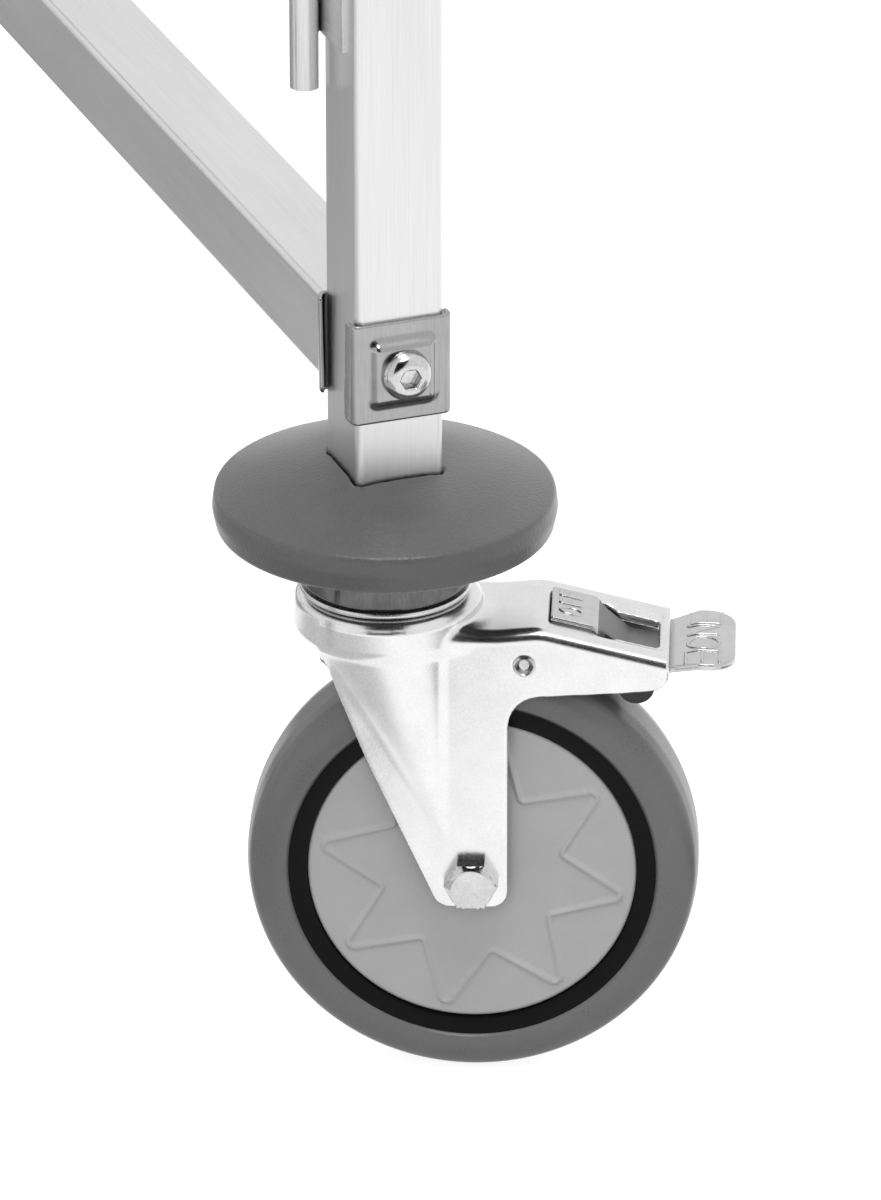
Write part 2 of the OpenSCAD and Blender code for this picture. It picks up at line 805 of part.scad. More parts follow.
// Window in the nose: wide round the OFF tab, narrow round the pedal's neck
module pedal_window() {
    tab_half = tab_w / 2 + window_gap;
    neck_half = neck_w / 2 + window_gap;
    window_end = nose_l - fork_t - overrun / 2;
    shape = [
        [window_start, -tab_half, 0],
        [pedal_pin_x + window_gap, -tab_half, window_gap],
        [pedal_pin_x + 4 * window_gap, -neck_half, window_gap],
        [window_end, -neck_half, window_gap],
        [window_end, neck_half, window_gap],
        [pedal_pin_x + 4 * window_gap, neck_half, window_gap],
        [pedal_pin_x + window_gap, tab_half, window_gap],
        [window_start, tab_half, 0]
    ];
    translate([0, 0, nose_end_z - window_reach]) linear_extrude(2 * window_reach) polygon(rounded(shape));
}

// Bulge from the crown's round wall down to a point on the cheek, on the side towards -Y
module cheek_bulge(r, inner_y, x, z) {
    tip = fork_t / 5;
    hull() {
        intersection() {
            translate([0, 0, drum_z]) cylinder(r = r, h = fork_t / 2, $fn = 32);
            translate([-r, -r, drum_z - overrun]) cube([2 * r, r - inner_y, fork_t + 2 * overrun]);
        }
        translate([x - tip, -inner_y - tip, z]) cube(tip);
    }
}

module fork(braked) {
    crown_skin = [
        [0, skirt_z],
        [skirt_r, skirt_z],
        [crown_r, drum_z],
        [crown_r, crown_z - 1.5 * crown_edge],
        [crown_r - crown_edge, crown_z],
        [0, crown_z]
    ];
    crown_inside = [
        [0, skirt_z - overrun],
        [skirt_r - fork_t, skirt_z - overrun],
        [skirt_r - fork_t, skirt_z],
        [crown_r - fork_t, drum_z],
        [crown_r - fork_t, crown_z - crown_edge - fork_t],
        [crown_r - crown_edge - fork_t, crown_z - fork_t],
        [0, crown_z - fork_t]
    ];
    hole_l = fork_w + 2 * overrun;
    color("gainsboro") difference() {
        union() {
            rotate_extrude() polygon(crown_skin);
            across(fork_w) polygon(rounded(concat(cheek_left, braked ? nose_right : plain_right)));
            for (side = [0, 1]) mirror([0, side, 0])
                cheek_bulge(crown_r, cheek_x - fork_t / 2, bulge_x, bulge_z);
        }
        for (side = [0, 1]) mirror([0, side, 0])
            cheek_bulge(crown_r - fork_t, cheek_x - fork_t - running_gap, bulge_x - fork_t / 2, bulge_z + fork_t);
        rotate_extrude() polygon(crown_inside);
        across(inner_w) polygon(braked ? nose_inside : plain_inside);
        translate([0, 0, crown_z - 2 * fork_t]) cylinder(r = king_r + running_gap, h = 3 * fork_t);
        on_y(trail, axle_z) translate([0, 0, -hole_l / 2]) cylinder(r = axle_r + running_gap, h = hole_l);
        if (braked) {
            pedal_window();
            on_y(rivet_x, rivet_z) translate([0, 0, -hole_l / 2]) cylinder(r = rivet_r + running_gap, h = hole_l);
        }
    }
}

module axle_bolt() {
    shank_l = fork_w + axle_nut_h + overrun;
    color("silver") on_y(trail, axle_z) {
        translate([0, 0, cheek_x - shank_l]) cylinder(r = axle_r, h = shank_l);
        translate([0, 0, cheek_x]) cylinder(d = axle_af / cos(quarter / 3), h = axle_head_h, $fn = 6);
        translate([0, 0, -cheek_x - axle_nut_h]) difference() {
            cylinder(d = axle_af / cos(quarter / 3), h = axle_nut_h, $fn = 6);
            translate([0, 0, -overrun]) cylinder(r = axle_r + running_gap, h = axle_nut_h + 2 * overrun);
        }
    }
}

module axle_sleeve() {
    l = inner_w - 2 * running_gap;
    color("darkgray") on_y(trail, axle_z) translate([0, 0, -l / 2]) difference() {
        cylinder(r = axle_sleeve_r, h = l);
        translate([0, 0, -overrun]) cylinder(r = axle_r + running_gap, h = l + 2 * overrun);
    }
}

module wheel_core() {
    bore_r = axle_sleeve_r + running_gap;
    rim_in = cover_hole_r;
    seat_in = rim_in - cover_seat;
    hub_half = hub_l / 2;
    web_half = web_t / 2;
    half = [
        [bore_r, hub_half],
        [hub_r, hub_half],
        [hub_r, web_half],
        [seat_in, web_half],
        [seat_in, seat_half],
        [rim_in, seat_half],
        [rim_in, rim_half],
        [rim_r, rim_half]
    ];
    outline = concat(half, [for (i = [len(half) - 1:-1:0]) [half[i][0], -half[i][1]]]);
    color("black") on_y(trail, axle_z) rotate_extrude() polygon(outline);
}

module tyre() {
    half_w = tyre_w / 2;
    edge_r = rim_inset;
    section = [
        [rim_r, -rim_half, 0],
        [rim_r + rim_inset, -half_w, edge_r],
        [wheel_d / 2, -half_w, shoulder_r],
        [wheel_d / 2, half_w, shoulder_r],
        [rim_r + rim_inset, half_w, edge_r],
        [rim_r, rim_half, 0]
    ];
    color("gray") on_y(trail, axle_z) rotate_extrude() polygon(rounded(section));
}

function star(grow) =
    [for (i = [0:2 * star_points - 1])
        let (a = star_turn + i * 2 * quarter / star_points)
        (i % 2 == 0 ? star_r + 2 * grow : star_in_r + grow) * [cos(a), sin(a)]];

module hub_covers() {
    color("silver") on_y(trail, axle_z) for (side = [0, 1]) mirror([0, 0, side]) translate([0, 0, seat_half]) {
        difference() {
            cylinder(r = cover_r, h = cover_t);
            translate([0, 0, -overrun]) cylinder(r = hub_r + seat_gap, h = cover_t + 2 * overrun);
        }
        translate([0, 0, cover_t]) linear_extrude(star_rise) difference() {
            polygon(star(0));
            polygon(star(-star_line));
        }
    }
}

// Middle line of the pedal's sheet: OFF tab, dip through the window and ON tongue
tab_slope = (nose_bend_z - nose_end_z) / (nose_l - nose_bend);
tab_start = window_start + window_gap;
tab_end = pedal_pin_x - 1.5 * pedal_t;
tab_lift = 0.2 * pedal_t;
tab_z = nose_bend_z - (tab_start - nose_bend) * tab_slope + tab_lift;
dip_x = pedal_pin_x + 3.25 * pedal_t;
strip_x = nose_l - fork_t;
rise_x = nose_l + 4 * pedal_t;
rise_z = pedal_low + 0.95 * pedal_t;
tongue_slope = -0.03;
pedal_line = bent([
    [tab_start, tab_z, 0],
    [tab_end, tab_z - (tab_end - tab_start) * tab_slope, 1.5 * pedal_t],
    [dip_x, pedal_low + 0.6 * pedal_t, 1.5 * pedal_t],
    [strip_x - 1.5 * pedal_t, pedal_low, 1.5 * pedal_t],
    [nose_l, pedal_low, 3 * pedal_t],
    [rise_x, rise_z, 3 * pedal_t],
    [tongue_end, rise_z + (tongue_end - rise_x) * tongue_slope, 0]
]);

module pedal() {
    ear_y = neck_w / 2 - pedal_t;
    tab_half = tab_w / 2;
    neck_half = neck_w / 2;
    tongue_half = tongue_w / 2;
    root_half = tongue_root_w / 2;
    tongue_root = nose_l + window_gap;
    plan = [
        [tab_start - overrun, -tab_half, 0],
        [pedal_pin_x - 1.5 * window_gap, -tab_half, window_gap],
        [pedal_pin_x, -neck_half, window_gap],
        [tongue_root, -neck_half, 0],
        [tongue_root, -root_half, window_gap],
        [tongue_root + tongue_r, -tongue_half, tongue_r],
        [tongue_end, -tongue_half, tongue_r],
        [tongue_end, tongue_half, tongue_r],
        [tongue_root + tongue_r, tongue_half, tongue_r],
        [tongue_root, root_half, window_gap],
        [tongue_root, neck_half, 0],
        [pedal_pin_x, neck_half, window_gap],
        [pedal_pin_x - 1.5 * window_gap, tab_half, window_gap],
        [tab_start - overrun, tab_half, 0]
    ];
    ear = [
        [pedal_pin_x - pedal_ear_r, pin_z],
        [pedal_pin_x + pedal_ear_r, pin_z],
        [pedal_pin_x + pedal_ear_r, pin_z + pedal_ear_r],
        [tab_end, tab_z - (tab_end - tab_start) * tab_slope]
    ];
    color("gainsboro") difference() {
        union() {
            intersection() {
                across(tongue_w) polygon(sheet(pedal_line, pedal_t));
                translate([0, 0, nose_end_z - 2 * window_reach]) linear_extrude(4 * window_reach) polygon(rounded(plan));
            }
            for (y = ends) translate([0, y * (ear_y + pedal_t / 2), 0]) {
                across(pedal_t) polygon(ear);
                on_y(pedal_pin_x, pin_z) translate([0, 0, -pedal_t / 2]) cylinder(r = pedal_ear_r, h = pedal_t);
            }
        }
        on_y(pedal_pin_x, pin_z) translate([0, 0, -inner_w / 2]) cylinder(r = pin_r + running_gap, h = inner_w);
    }
}

// Middle line of the brake arm's sheet
arm_line = [
    [rivet_x + barrel_r * 0.8, rivet_z - barrel_r * 0.45],
    [(rivet_x + pad_x) / 2 - barrel_wall * 4, rivet_z - barrel_r * 1.37],
    [pad_x - pad_r * 0.6, pad_z + pad_r * 0.48],
    [arm_end, pad_z + pad_r * 0.4]
];

module brake_arm() {
    color("darkgray") difference() {
        union() {
            on_y(rivet_x, rivet_z) translate([0, 0, -barrel_l / 2]) cylinder(r = barrel_r, h = barrel_l);
            across(arm_w) polygon(sheet(arm_line, pedal_t));
        }
        on_y(rivet_x, rivet_z) translate([0, 0, -inner_w / 2]) cylinder(r = rivet_r + running_gap, h = inner_w);
    }
}

module brake_pad() {
    side = [
        [pad_x - pad_r, pad_top, 0],
        [pad_x - pad_r, pad_z - pad_r, pad_r * 0.98],
        [pad_x + pad_r, pad_z - pad_r, pad_r * 0.98],
        [pad_x + pad_r, pad_top, 0]
    ];
    slot = [
        [pad_x - 2 * pad_r, pad_z + pad_r * 0.48],
        [arm_end + running_gap, pad_z + pad_r * 0.4]
    ];
    color("black") difference() {
        across(pad_w) polygon(rounded(side));
        across(pad_w + 2 * overrun) polygon(sheet(arm_line, pedal_t + 2 * running_gap));
        across(pad_w + 2 * overrun) polygon(sheet(slot, 2 * running_gap));
    }
}

module brake_pins() {
    rivet_l = fork_w + 2 * rivet_head_h;
    color("silver") {
        on_y(rivet_x, rivet_z) {
            translate([0, 0, -rivet_l / 2]) cylinder(r = rivet_r, h = rivet_l);
            for (side = [0, 1]) mirror([0, 0, side])
                translate([0, 0, cheek_x]) cylinder(d = rivet_head_d, h = rivet_head_h);
        }
        on_y(pedal_pin_x, pin_z) translate([0, 0, -inner_w / 2]) cylinder(r = pin_r, h = inner_w);
    }
}

for (i = [0:len(corner_names) - 1]) {
    post(i);
    at_castor(i) fork(i < len(braked_names));
    at_castor(i) axle_bolt();
    at_castor(i) axle_sleeve();
    at_castor(i) wheel_core();
    at_castor(i) tyre();
    at_castor(i) hub_covers();
}
for (i = [0:len(braked_names) - 1]) {
    at_castor(i) pedal();
    at_castor(i) brake_arm();
    at_castor(i) brake_pad();
    at_castor(i) brake_pins();
}
side_rail(1, base_z);  // base_rail_right
side_rail(-1, base_z);  // base_rail_left
cross_rail(post_y, base_cross_z);  // base_cross_rail
side_rail(1, top_side_z);  // top_rail_right
side_rail(-1, top_side_z);  // top_rail_left
cross_rail(-post_y, top_cross_z);  // top_cross_rail_front
cross_rail(post_y, top_cross_z);  // top_cross_rail_rear
runners(1);  // runners_right
runners(-1);  // runners_left
stop_rods();
corner_clips();
rail_end_saddles();
frame_bolts();
threaded_inserts();
post_caps();
bumper_discs();
expander_bolts();
expander_sleeves();
expander_nuts();
upper_races();
king_rivets();
swivel_balls();
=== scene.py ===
# %% [markdown]
# # A gastronorm tray trolley
# The trolley is a bolted frame of square stainless tube on four castors. The two castors at the
# stop end have a brake pedal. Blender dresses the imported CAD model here, piece by piece. Sizes
# are in millimetres until a mesh is made.

# %% Load the frame
import json
import math

import bmesh
import bpy
import numpy as np
from mathutils import Matrix, Vector


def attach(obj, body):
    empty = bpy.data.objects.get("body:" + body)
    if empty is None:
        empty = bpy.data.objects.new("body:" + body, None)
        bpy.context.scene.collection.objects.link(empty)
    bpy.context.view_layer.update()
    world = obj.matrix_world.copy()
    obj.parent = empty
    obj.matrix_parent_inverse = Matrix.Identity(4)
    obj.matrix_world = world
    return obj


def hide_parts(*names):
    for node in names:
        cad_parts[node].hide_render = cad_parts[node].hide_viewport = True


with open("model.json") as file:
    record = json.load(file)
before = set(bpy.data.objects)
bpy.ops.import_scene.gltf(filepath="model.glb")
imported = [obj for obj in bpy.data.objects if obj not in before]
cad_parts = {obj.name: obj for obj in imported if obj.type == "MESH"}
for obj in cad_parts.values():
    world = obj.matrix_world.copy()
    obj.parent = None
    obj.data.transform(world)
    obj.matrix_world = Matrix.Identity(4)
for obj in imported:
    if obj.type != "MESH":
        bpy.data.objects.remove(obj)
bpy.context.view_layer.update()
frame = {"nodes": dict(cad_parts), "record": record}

# %% [markdown]
# ## Camera
# The picture was taken from above the front right corner with a long lens. The place, the angle
# and the lens were worked out from the tube's edges and the round wheel. The camera could also be
# aimed by a constraint, but fixed numbers are easier to check.

# %% Place the camera
MM = 0.001
CAMERA_PLACE = (-0.517, -2.150, 1.0776)
CAMERA_DOWN = 25.015
CAMERA_ROUND = -20.698
CAMERA_LENS = 243.4

camera_data = bpy.data.cameras.new("camera")
camera_data.lens = CAMERA_LENS
camera = bpy.data.objects.new("camera", camera_data)
bpy.context.scene.collection.objects.link(camera)
camera.location = CAMERA_PLACE
camera.rotation_euler = (math.radians(90 - CAMERA_DOWN), 0, math.radians(CAMERA_ROUND))
bpy.context.scene.camera = camera
bpy.context.scene.view_settings.view_transform = "Standard"
print("camera with a lens of", CAMERA_LENS, "mm")

# %% [markdown]
# ## Colours and shader nodes
# A colour is easiest to pick as the sRGB hex value that a picture shows, but shaders work in
# linear light, so one function turns one into the other. Another adds a shader node with its
# settings and links, which keeps each material short.

# %% Colour and node helpers
def linear(hex_colour):
    """Turn an sRGB hex colour into linear RGBA."""
    parts = [int(hex_colour[i:i + 2], 16) / 255 for i in (1, 3, 5)]
    return [p / 12.92 if p <= 0.04045 else ((p + 0.055) / 1.055) ** 2.4 for p in parts] + [1.0]


def add_node(tree, kind, settings=None, links=None):
    """Add a node, set its sockets or its options by name, and link its inputs."""
    node = tree.nodes.new(kind)
    for key, value in (settings or {}).items():
        if isinstance(key, str) and hasattr(node, key):
            setattr(node, key, value)
        else:
            node.inputs[key].default_value = value
    for key, source in (links or {}).items():
        tree.links.new(source, node.inputs[key])
    return node


def new_material(name):
    """Make an empty node material, and return it with its tree and output."""
    material = bpy.data.materials.new(name)
    material.use_nodes = True
    material.node_tree.nodes.clear()
    output = add_node(material.node_tree, "ShaderNodeOutputMaterial")
    return material, material.node_tree, output


print("mid grey 808080 is", round(linear("#808080")[0], 3), "in linear light")

# %% [markdown]
# ## Studio
# The real picture is a studio shot on white. A floor and a world that look white to the camera
# and in reflections, but give the object only a moderate light, keep the greys from bleaching.
# Four area lights shape the metal. Only the key light shows in reflections, so that the others
# leave no white square on the steel. Polished metal shows what stands round it, so four cards that
# nothing but reflections sees give the tubes, the castors and the clips their deeper greys.

# %% World and floor
FLOOR_SIZE = 12.0
FLOOR_Z = -0.0005
FLOOR_GLOW = 0.86
WORLD_LIGHT = 0.70
WHITE = (1, 1, 1, 1)


def seen_directly(tree):
    """A mask that is 1 for what the camera, a reflection or a see-through ray shows."""
    path = add_node(tree, "ShaderNodeLightPath")
    either = add_node(tree, "ShaderNodeMath", {"operation": "MAXIMUM"},
                      {0: path.outputs["Is Camera Ray"], 1: path.outputs["Is Glossy Ray"]})
    return add_node(tree, "ShaderNodeMath", {"operation": "MAXIMUM"},
                    {0: either.outputs[0], 1: path.outputs["Is Transmission Ray"]}).outputs[0]


world = bpy.data.worlds.new("studio")
bpy.context.scene.world = world
world.use_nodes = True
world.node_tree.nodes.clear()
tree = world.node_tree
strength = add_node(tree, "ShaderNodeMapRange", {"To Min": WORLD_LIGHT, "To Max": 1.0},
                    {"Value": seen_directly(tree)})
white = add_node(tree, "ShaderNodeBackground", {"Color": WHITE}, {"Strength": strength.outputs[0]})
add_node(tree, "ShaderNodeOutputWorld", links={"Surface": white.outputs[0]})

paper, tree, output = new_material("white_paper_floor")
matt = add_node(tree, "ShaderNodeBsdfDiffuse", {"Color": linear("#969696")})
glow = add_node(tree, "ShaderNodeEmission", {"Color": WHITE, "Strength": FLOOR_GLOW})
dim = add_node(tree, "ShaderNodeEmission", {"Color": WHITE, "Strength": 0.0})
pick = add_node(tree, "ShaderNodeMixShader",
                links={0: seen_directly(tree), 1: dim.outputs[0], 2: glow.outputs[0]})
both = add_node(tree, "ShaderNodeAddShader", links={0: matt.outputs[0], 1: pick.outputs[0]})
tree.links.new(both.outputs[0], output.inputs["Surface"])

bpy.ops.mesh.primitive_plane_add(size=FLOOR_SIZE, location=(0, 0, FLOOR_Z))
floor = bpy.context.object
floor.name = "floor"
floor.data.materials.append(paper)
print("floor", FLOOR_SIZE, "m wide")

# %% Lists of lights and cards
# Name, place, point it looks at, size in metres, watts, seen in reflections.
LIGHTS = [
    ("key_above_front", (0.05, -0.95, 2.2), (0.2, -0.3, 0.15), 0.8, 15, True),
    ("rim_back_right", (1.9, 0.9, 0.9), (0.18, -0.26, 0.15), 1.0, 32, False),
    ("side_left", (-1.6, 0.3, 1.0), (0.18, -0.26, 0.15), 1.0, 10, False),
    ("front_fill", (-0.7, -2.2, 1.1), (0.1, -0.2, 0.2), 1.6, 20, False),
]
# Name, place, point it looks at, width and depth in metres, grey.
CARDS = [
    ("card_behind_left", (-0.64, 1.02, 0.02), (-0.64, 1.02, 3), (1.52, 2.0), "#BABABA"),
    ("card_castor_left", (-0.16, -0.27, 0.004), (-0.16, -0.27, 3), (0.50, 0.56), "#D6D6D6"),
    ("card_castor_right", (0.42, -0.43, 0.004), (0.42, -0.43, 3), (0.14, 0.30), "#B4B4B4"),
    ("card_in_front", (-0.154, -1.215, 0.82), (0.23, -0.31, 0.13), (1.1, 1.25), "#141414"),
]
print(len(LIGHTS), "lights and", len(CARDS), "cards")


# %% Set up the lights and cards
def aim(obj, target):
    """Turn a light or a card so that its -Z side looks at a point."""
    direction = Vector(target) - obj.location
    obj.rotation_euler = direction.to_track_quat("-Z", "Y").to_euler()


for name, spot, target, size, power, in_reflections in LIGHTS:
    lamp = bpy.data.lights.new(name, "AREA")
    lamp.size = size
    lamp.energy = power
    holder = bpy.data.objects.new(name, lamp)
    bpy.context.scene.collection.objects.link(holder)
    holder.location = spot
    aim(holder, target)
    holder.visible_glossy = in_reflections

for name, spot, target, (wide, deep), tone in CARDS:
    grey, tree, output = new_material(name + "_paper")
    even = add_node(tree, "ShaderNodeEmission", {"Color": linear(tone), "Strength": 1.0})
    tree.links.new(even.outputs[0], output.inputs["Surface"])
    bpy.ops.mesh.primitive_plane_add(size=1, location=spot)
    card = bpy.context.object
    card.name = name
    card.scale = (wide, deep, 1)
    aim(card, target)
    card.visible_camera = card.visible_shadow = card.visible_diffuse = False
    card.data.materials.append(grey)
print("lights seen in reflections:", sum(light[5] for light in LIGHTS))

# %% [markdown]
# ## Shapes from distance fields
# Pressed sheet steel has soft bends and fillets that run into each other. A subdivision surface
# could be shaped by hand, but then every edge loop has to be planned. Here a shape is a formula
# for the distance to its surface, below zero inside. Unions and cuts are a minimum or a maximum,
# and a rounded version of each gives a fillet. Small quads are drawn where the distance is zero.

# %% Outlines with rounded corners
def rounded(corners, closed=True, steps=6):
    """Turn (u, v) or (u, v, radius) corners into points, with arcs."""
    points = []
    count = len(corners)
    for i, corner in enumerate(corners):
        here = Vector(corner[:2])
        radius = corner[2] if len(corner) > 2 else 0
        if radius == 0 or (not closed and i in (0, count - 1)):
            points.append(tuple(here))
            continue
        back = (Vector(corners[i - 1][:2]) - here).normalized()
        on = (Vector(corners[(i + 1) % count][:2]) - here).normalized()
        half = math.acos(max(-1, min(1, back.dot(on)))) / 2
        centre = here + (back + on).normalized() * radius / math.sin(half)
        start = here + back * radius / math.tan(half) - centre
        end = here + on * radius / math.tan(half) - centre
        a = math.atan2(start.y, start.x)
        turn = (math.atan2(end.y, end.x) - a + math.pi) % (2 * math.pi) - math.pi
        for k in range(steps + 1):
            b = a + turn * k / steps
            points.append((centre.x + radius * math.cos(b), centre.y + radius * math.sin(b)))
    return points


# %% Distances to lines and outlines
def line_distance(u, v, line):
    """Distance from the points (u, v) to an open line."""
    best = np.inf
    for (au, av), (bu, bv) in zip(line, line[1:]):
        du, dv = bu - au, bv - av
        share = np.clip(((u - au) * du + (v - av) * dv) / (du * du + dv * dv), 0, 1)
        best = np.minimum(best, (u - au - share * du) ** 2 + (v - av - share * dv) ** 2)
    return np.sqrt(best)


def outline_distance(u, v, outline):
    """Distance to a closed outline, below zero inside it."""
    loop = list(outline) + [outline[0]]
    inside = False
    for (au, av), (bu, bv) in zip(loop, loop[1:]):
        if av != bv:
            level = au + (bu - au) * (v - av) / (bv - av)
            inside = inside ^ (((av > v) != (bv > v)) & (u < level))
    return np.where(inside, -1, 1) * line_distance(u, v, loop)


print("a rounded corner has", len(rounded([(0, 0), (9, 0, 1), (9, 9)])) - 2, "points")

# %% Rounded unions and cuts
def soft_union(a, b, width):
    """Join two fields with a fillet of about the given width."""
    share = np.clip(0.5 + 0.5 * (b - a) / width, 0, 1)
    return b + (a - b) * share - width * share * (1 - share)


def round_join(a, b, radius):
    """Keep what is inside both fields, with their common edge rounded."""
    outer = np.hypot(np.maximum(a + radius, 0), np.maximum(b + radius, 0)) - radius
    return np.where((a > -radius) & (b > -radius), outer, np.maximum(a, b))


def ramp(value, start, end):
    """Rise smoothly from 0 at start to 1 at end."""
    share = np.clip((value - start) / (end - start), 0, 1)
    return share * share * (3 - 2 * share)


print("rounding by 2 mm takes", round(float(round_join(0.0, 0.0, 2)), 2), "mm off a square edge")

# %% [markdown]
# ## Drawing the mesh of a field
# The field is sampled on a grid. Each grid cell that the surface passes gets one point, and each
# grid edge that it crosses gets one quad. The points are then evened out and pushed back onto the
# surface a few times, so flat faces come out flat and bends smooth.

# %% Points on the surface of a field
def field_points(field, low, high, step):
    """The inside mask of a sampled field, its surface cells and their points."""
    axes = [np.arange(a, b + step, step) for a, b in zip(low, high)]
    shape = tuple(len(a) for a in axes)
    values = np.broadcast_to(field(*np.meshgrid(*axes, indexing="ij", sparse=True)), shape)
    inside = values < 0
    corners = [(i, j, k) for i in (0, 1) for j in (0, 1) for k in (0, 1)]
    count = sum(inside[i:shape[0] - 1 + i, j:shape[1] - 1 + j, k:shape[2] - 1 + k].astype(np.int8)
                for i, j, k in corners)
    cells = np.argwhere((count > 0) & (count < 8))
    total = np.zeros((len(cells), 3))
    hits = np.zeros(len(cells))
    for a in corners:
        for b in corners:
            if sum(b) - sum(a) == 1 and all(q >= p for p, q in zip(a, b)):
                va = values[tuple((cells + a).T)]
                vb = values[tuple((cells + b).T)]
                cut = (va < 0) != (vb < 0)
                share = np.where(cut, va / np.where(cut, va - vb, 1), 0)
                total += cut[:, None] * (np.array(a) + share[:, None] * (np.array(b) - a))
                hits += cut
    points = np.array(low) + step * (cells + total / hits[:, None])
    return inside, cells, points


# %% Quads between the points
def field_quads(inside, cells):
    """One quad round each grid edge that the surface crosses."""
    index = np.full(tuple(n - 1 for n in inside.shape), -1)
    index[tuple(cells.T)] = np.arange(len(cells))
    quads = []
    for axis in range(3):
        b, c = (axis + 1) % 3, (axis + 2) % 3
        low = np.take(inside, range(inside.shape[axis] - 1), axis)
        high = np.take(inside, range(1, inside.shape[axis]), axis)
        edges = np.argwhere(low != high)
        ring = []
        for back_b, back_c in ((1, 1), (0, 1), (0, 0), (1, 0)):
            cell = edges.copy()
            cell[:, b] -= back_b
            cell[:, c] -= back_c
            ring.append(index[tuple(cell.T)])
        ring = np.stack(ring, 1)
        leaves = low[tuple(edges.T)]
        quads.append(np.where(leaves[:, None], ring, ring[:, ::-1]))
    return np.concatenate(quads)


# %% Mesh of a field
ROUNDS = 3
EVENING = 0.5
SLOPE_REACH = 1 / 8
FLATTEST = 0.2


def slope(field, points, reach):
    """The field at the points and its gradient."""
    x, y, z = points.T
    here = field(x, y, z)
    rise = [field(x + reach, y, z) - field(x - reach, y, z),
            field(x, y + reach, z) - field(x, y - reach, z),
            field(x, y, z + reach) - field(x, y, z - reach)]
    return here, np.stack(rise, 1) / (2 * reach)


def mesh_of_field(field, low, high, step):
    """Points and quads of the surface where the field is zero."""
    inside, cells, points = field_points(field, low, high, step)
    quads = field_quads(inside, cells)
    ends = np.concatenate([quads[:, [i, (i + 1) % 4]] for i in range(4)])
    ends = np.concatenate([ends, ends[:, ::-1]])
    weight = np.bincount(ends[:, 0], minlength=len(points))[:, None]
    for _ in range(ROUNDS):
        total = np.stack([np.bincount(ends[:, 0], points[ends[:, 1], k], len(points)) for k in range(3)], 1)
        points = points + EVENING * (total / weight - points)
        for _ in range(2):
            here, rise = slope(field, points, step * SLOPE_REACH)
            move = here / np.maximum((rise ** 2).sum(1), FLATTEST)
            points = points - np.clip(move, -step, step)[:, None] * rise
    return points, quads


print("slopes are measured over", 2 * SLOPE_REACH, "of a grid step")

# %% [markdown]
# ## Stacks of rings
# Turned parts, such as a bolt head or a tyre, need no field: a profile carried round an axis is
# enough. Each ring has its own radius at each angle, so the same helper also makes a hexagonal
# socket that runs into a round head.

# %% Ring stack helper
def row_quads(rows, columns, closed):
    """Quads between rows of points, each row open or closed to a ring."""
    here = np.arange(columns if closed else columns - 1)
    after = (here + 1) % columns
    steps = columns * np.arange(rows - 1)[:, None, None]
    return (steps + np.stack([here, after, after + columns, here + columns], 1)).reshape(-1, 4)


def ring_stack(rings, steps=96):
    """Points and quads of rings (radius, height) round the Z axis, closed where a radius is 0."""
    angle = np.arange(steps) * 2 * math.pi / steps
    points = []
    for radius, height in rings:
        around = radius(angle) if callable(radius) else np.full(steps, float(radius))
        level = np.full(steps, float(height))
        points.append(np.stack([around * np.cos(angle), around * np.sin(angle), level], 1))
    return np.concatenate(points), row_quads(len(rings), steps, True)


def hexagon(across_flats):
    """Radius of a hexagon at each angle."""
    return lambda angle: across_flats / 2 / np.cos((angle + math.pi / 6) % (math.pi / 3) - math.pi / 6)


def turned(part, turn, move):
    """Turn a part about an axis such as ("X", 90) and move it."""
    points, quads = part
    matrix = np.array(Matrix.Rotation(math.radians(turn[1]), 3, turn[0]))
    return points @ matrix.T + np.array(move), quads


def joined(parts):
    """Put several (points, quads) parts into one."""
    bases = np.cumsum([0] + [len(points) for points, _ in parts])
    quads = [quads + base for (_, quads), base in zip(parts, bases)]
    return np.concatenate([points for points, _ in parts]), np.concatenate(quads)


print("a 5 mm hexagon is", round(float(2 * hexagon(5)(math.pi / 6)), 2), "mm across corners")

# %% Meshes and pieces
DOUBLE = 0.00001


def make_mesh(name, part, sharp=None):
    """Make a smooth Blender mesh in metres, with edges above the sharp angle kept."""
    points, quads = part
    mesh = bpy.data.meshes.new(name)
    mesh.from_pydata((points * MM).tolist(), [], quads.tolist())
    work = bmesh.new()
    work.from_mesh(mesh)
    bmesh.ops.remove_doubles(work, verts=work.verts, dist=DOUBLE)
    bmesh.ops.recalc_face_normals(work, faces=work.faces)
    work.to_mesh(mesh)
    work.free()
    mesh.shade_smooth()
    if sharp:
        mesh.set_sharp_from_angle(angle=math.radians(sharp))
    return mesh


def two_finishes(mesh, main, other, where):
    """Give a mesh one finish, and the other on the faces that where() picks."""
    mesh.materials.append(main)
    mesh.materials.append(other)
    for face in mesh.polygons:
        face.material_index = int(where(*(face.center / MM)))


print("points closer than", DOUBLE / MM, "mm are joined")

# %% [markdown]
# ## Finishes
# Every surface carries a fine grain, such as brush lines or moulded texture, and slow clouds from
# handling and uneven polish. Both could be painted as images, but noise in the object's own
# coordinates needs no image and follows each tube. Grain finer than 0.3 mm would vanish at this
# distance, so it is drawn about that coarse.

# %% Grained surface helper
GRAIN_DETAIL = 3.0
CLOUD_DETAIL = 2.0
NOISE_ROUGHNESS = 0.55
NOISE_RANGE = (0.3, 0.7)
CLOUD_SHARE = 0.45
COLOUR_RANGE = (0.36, 0.64)


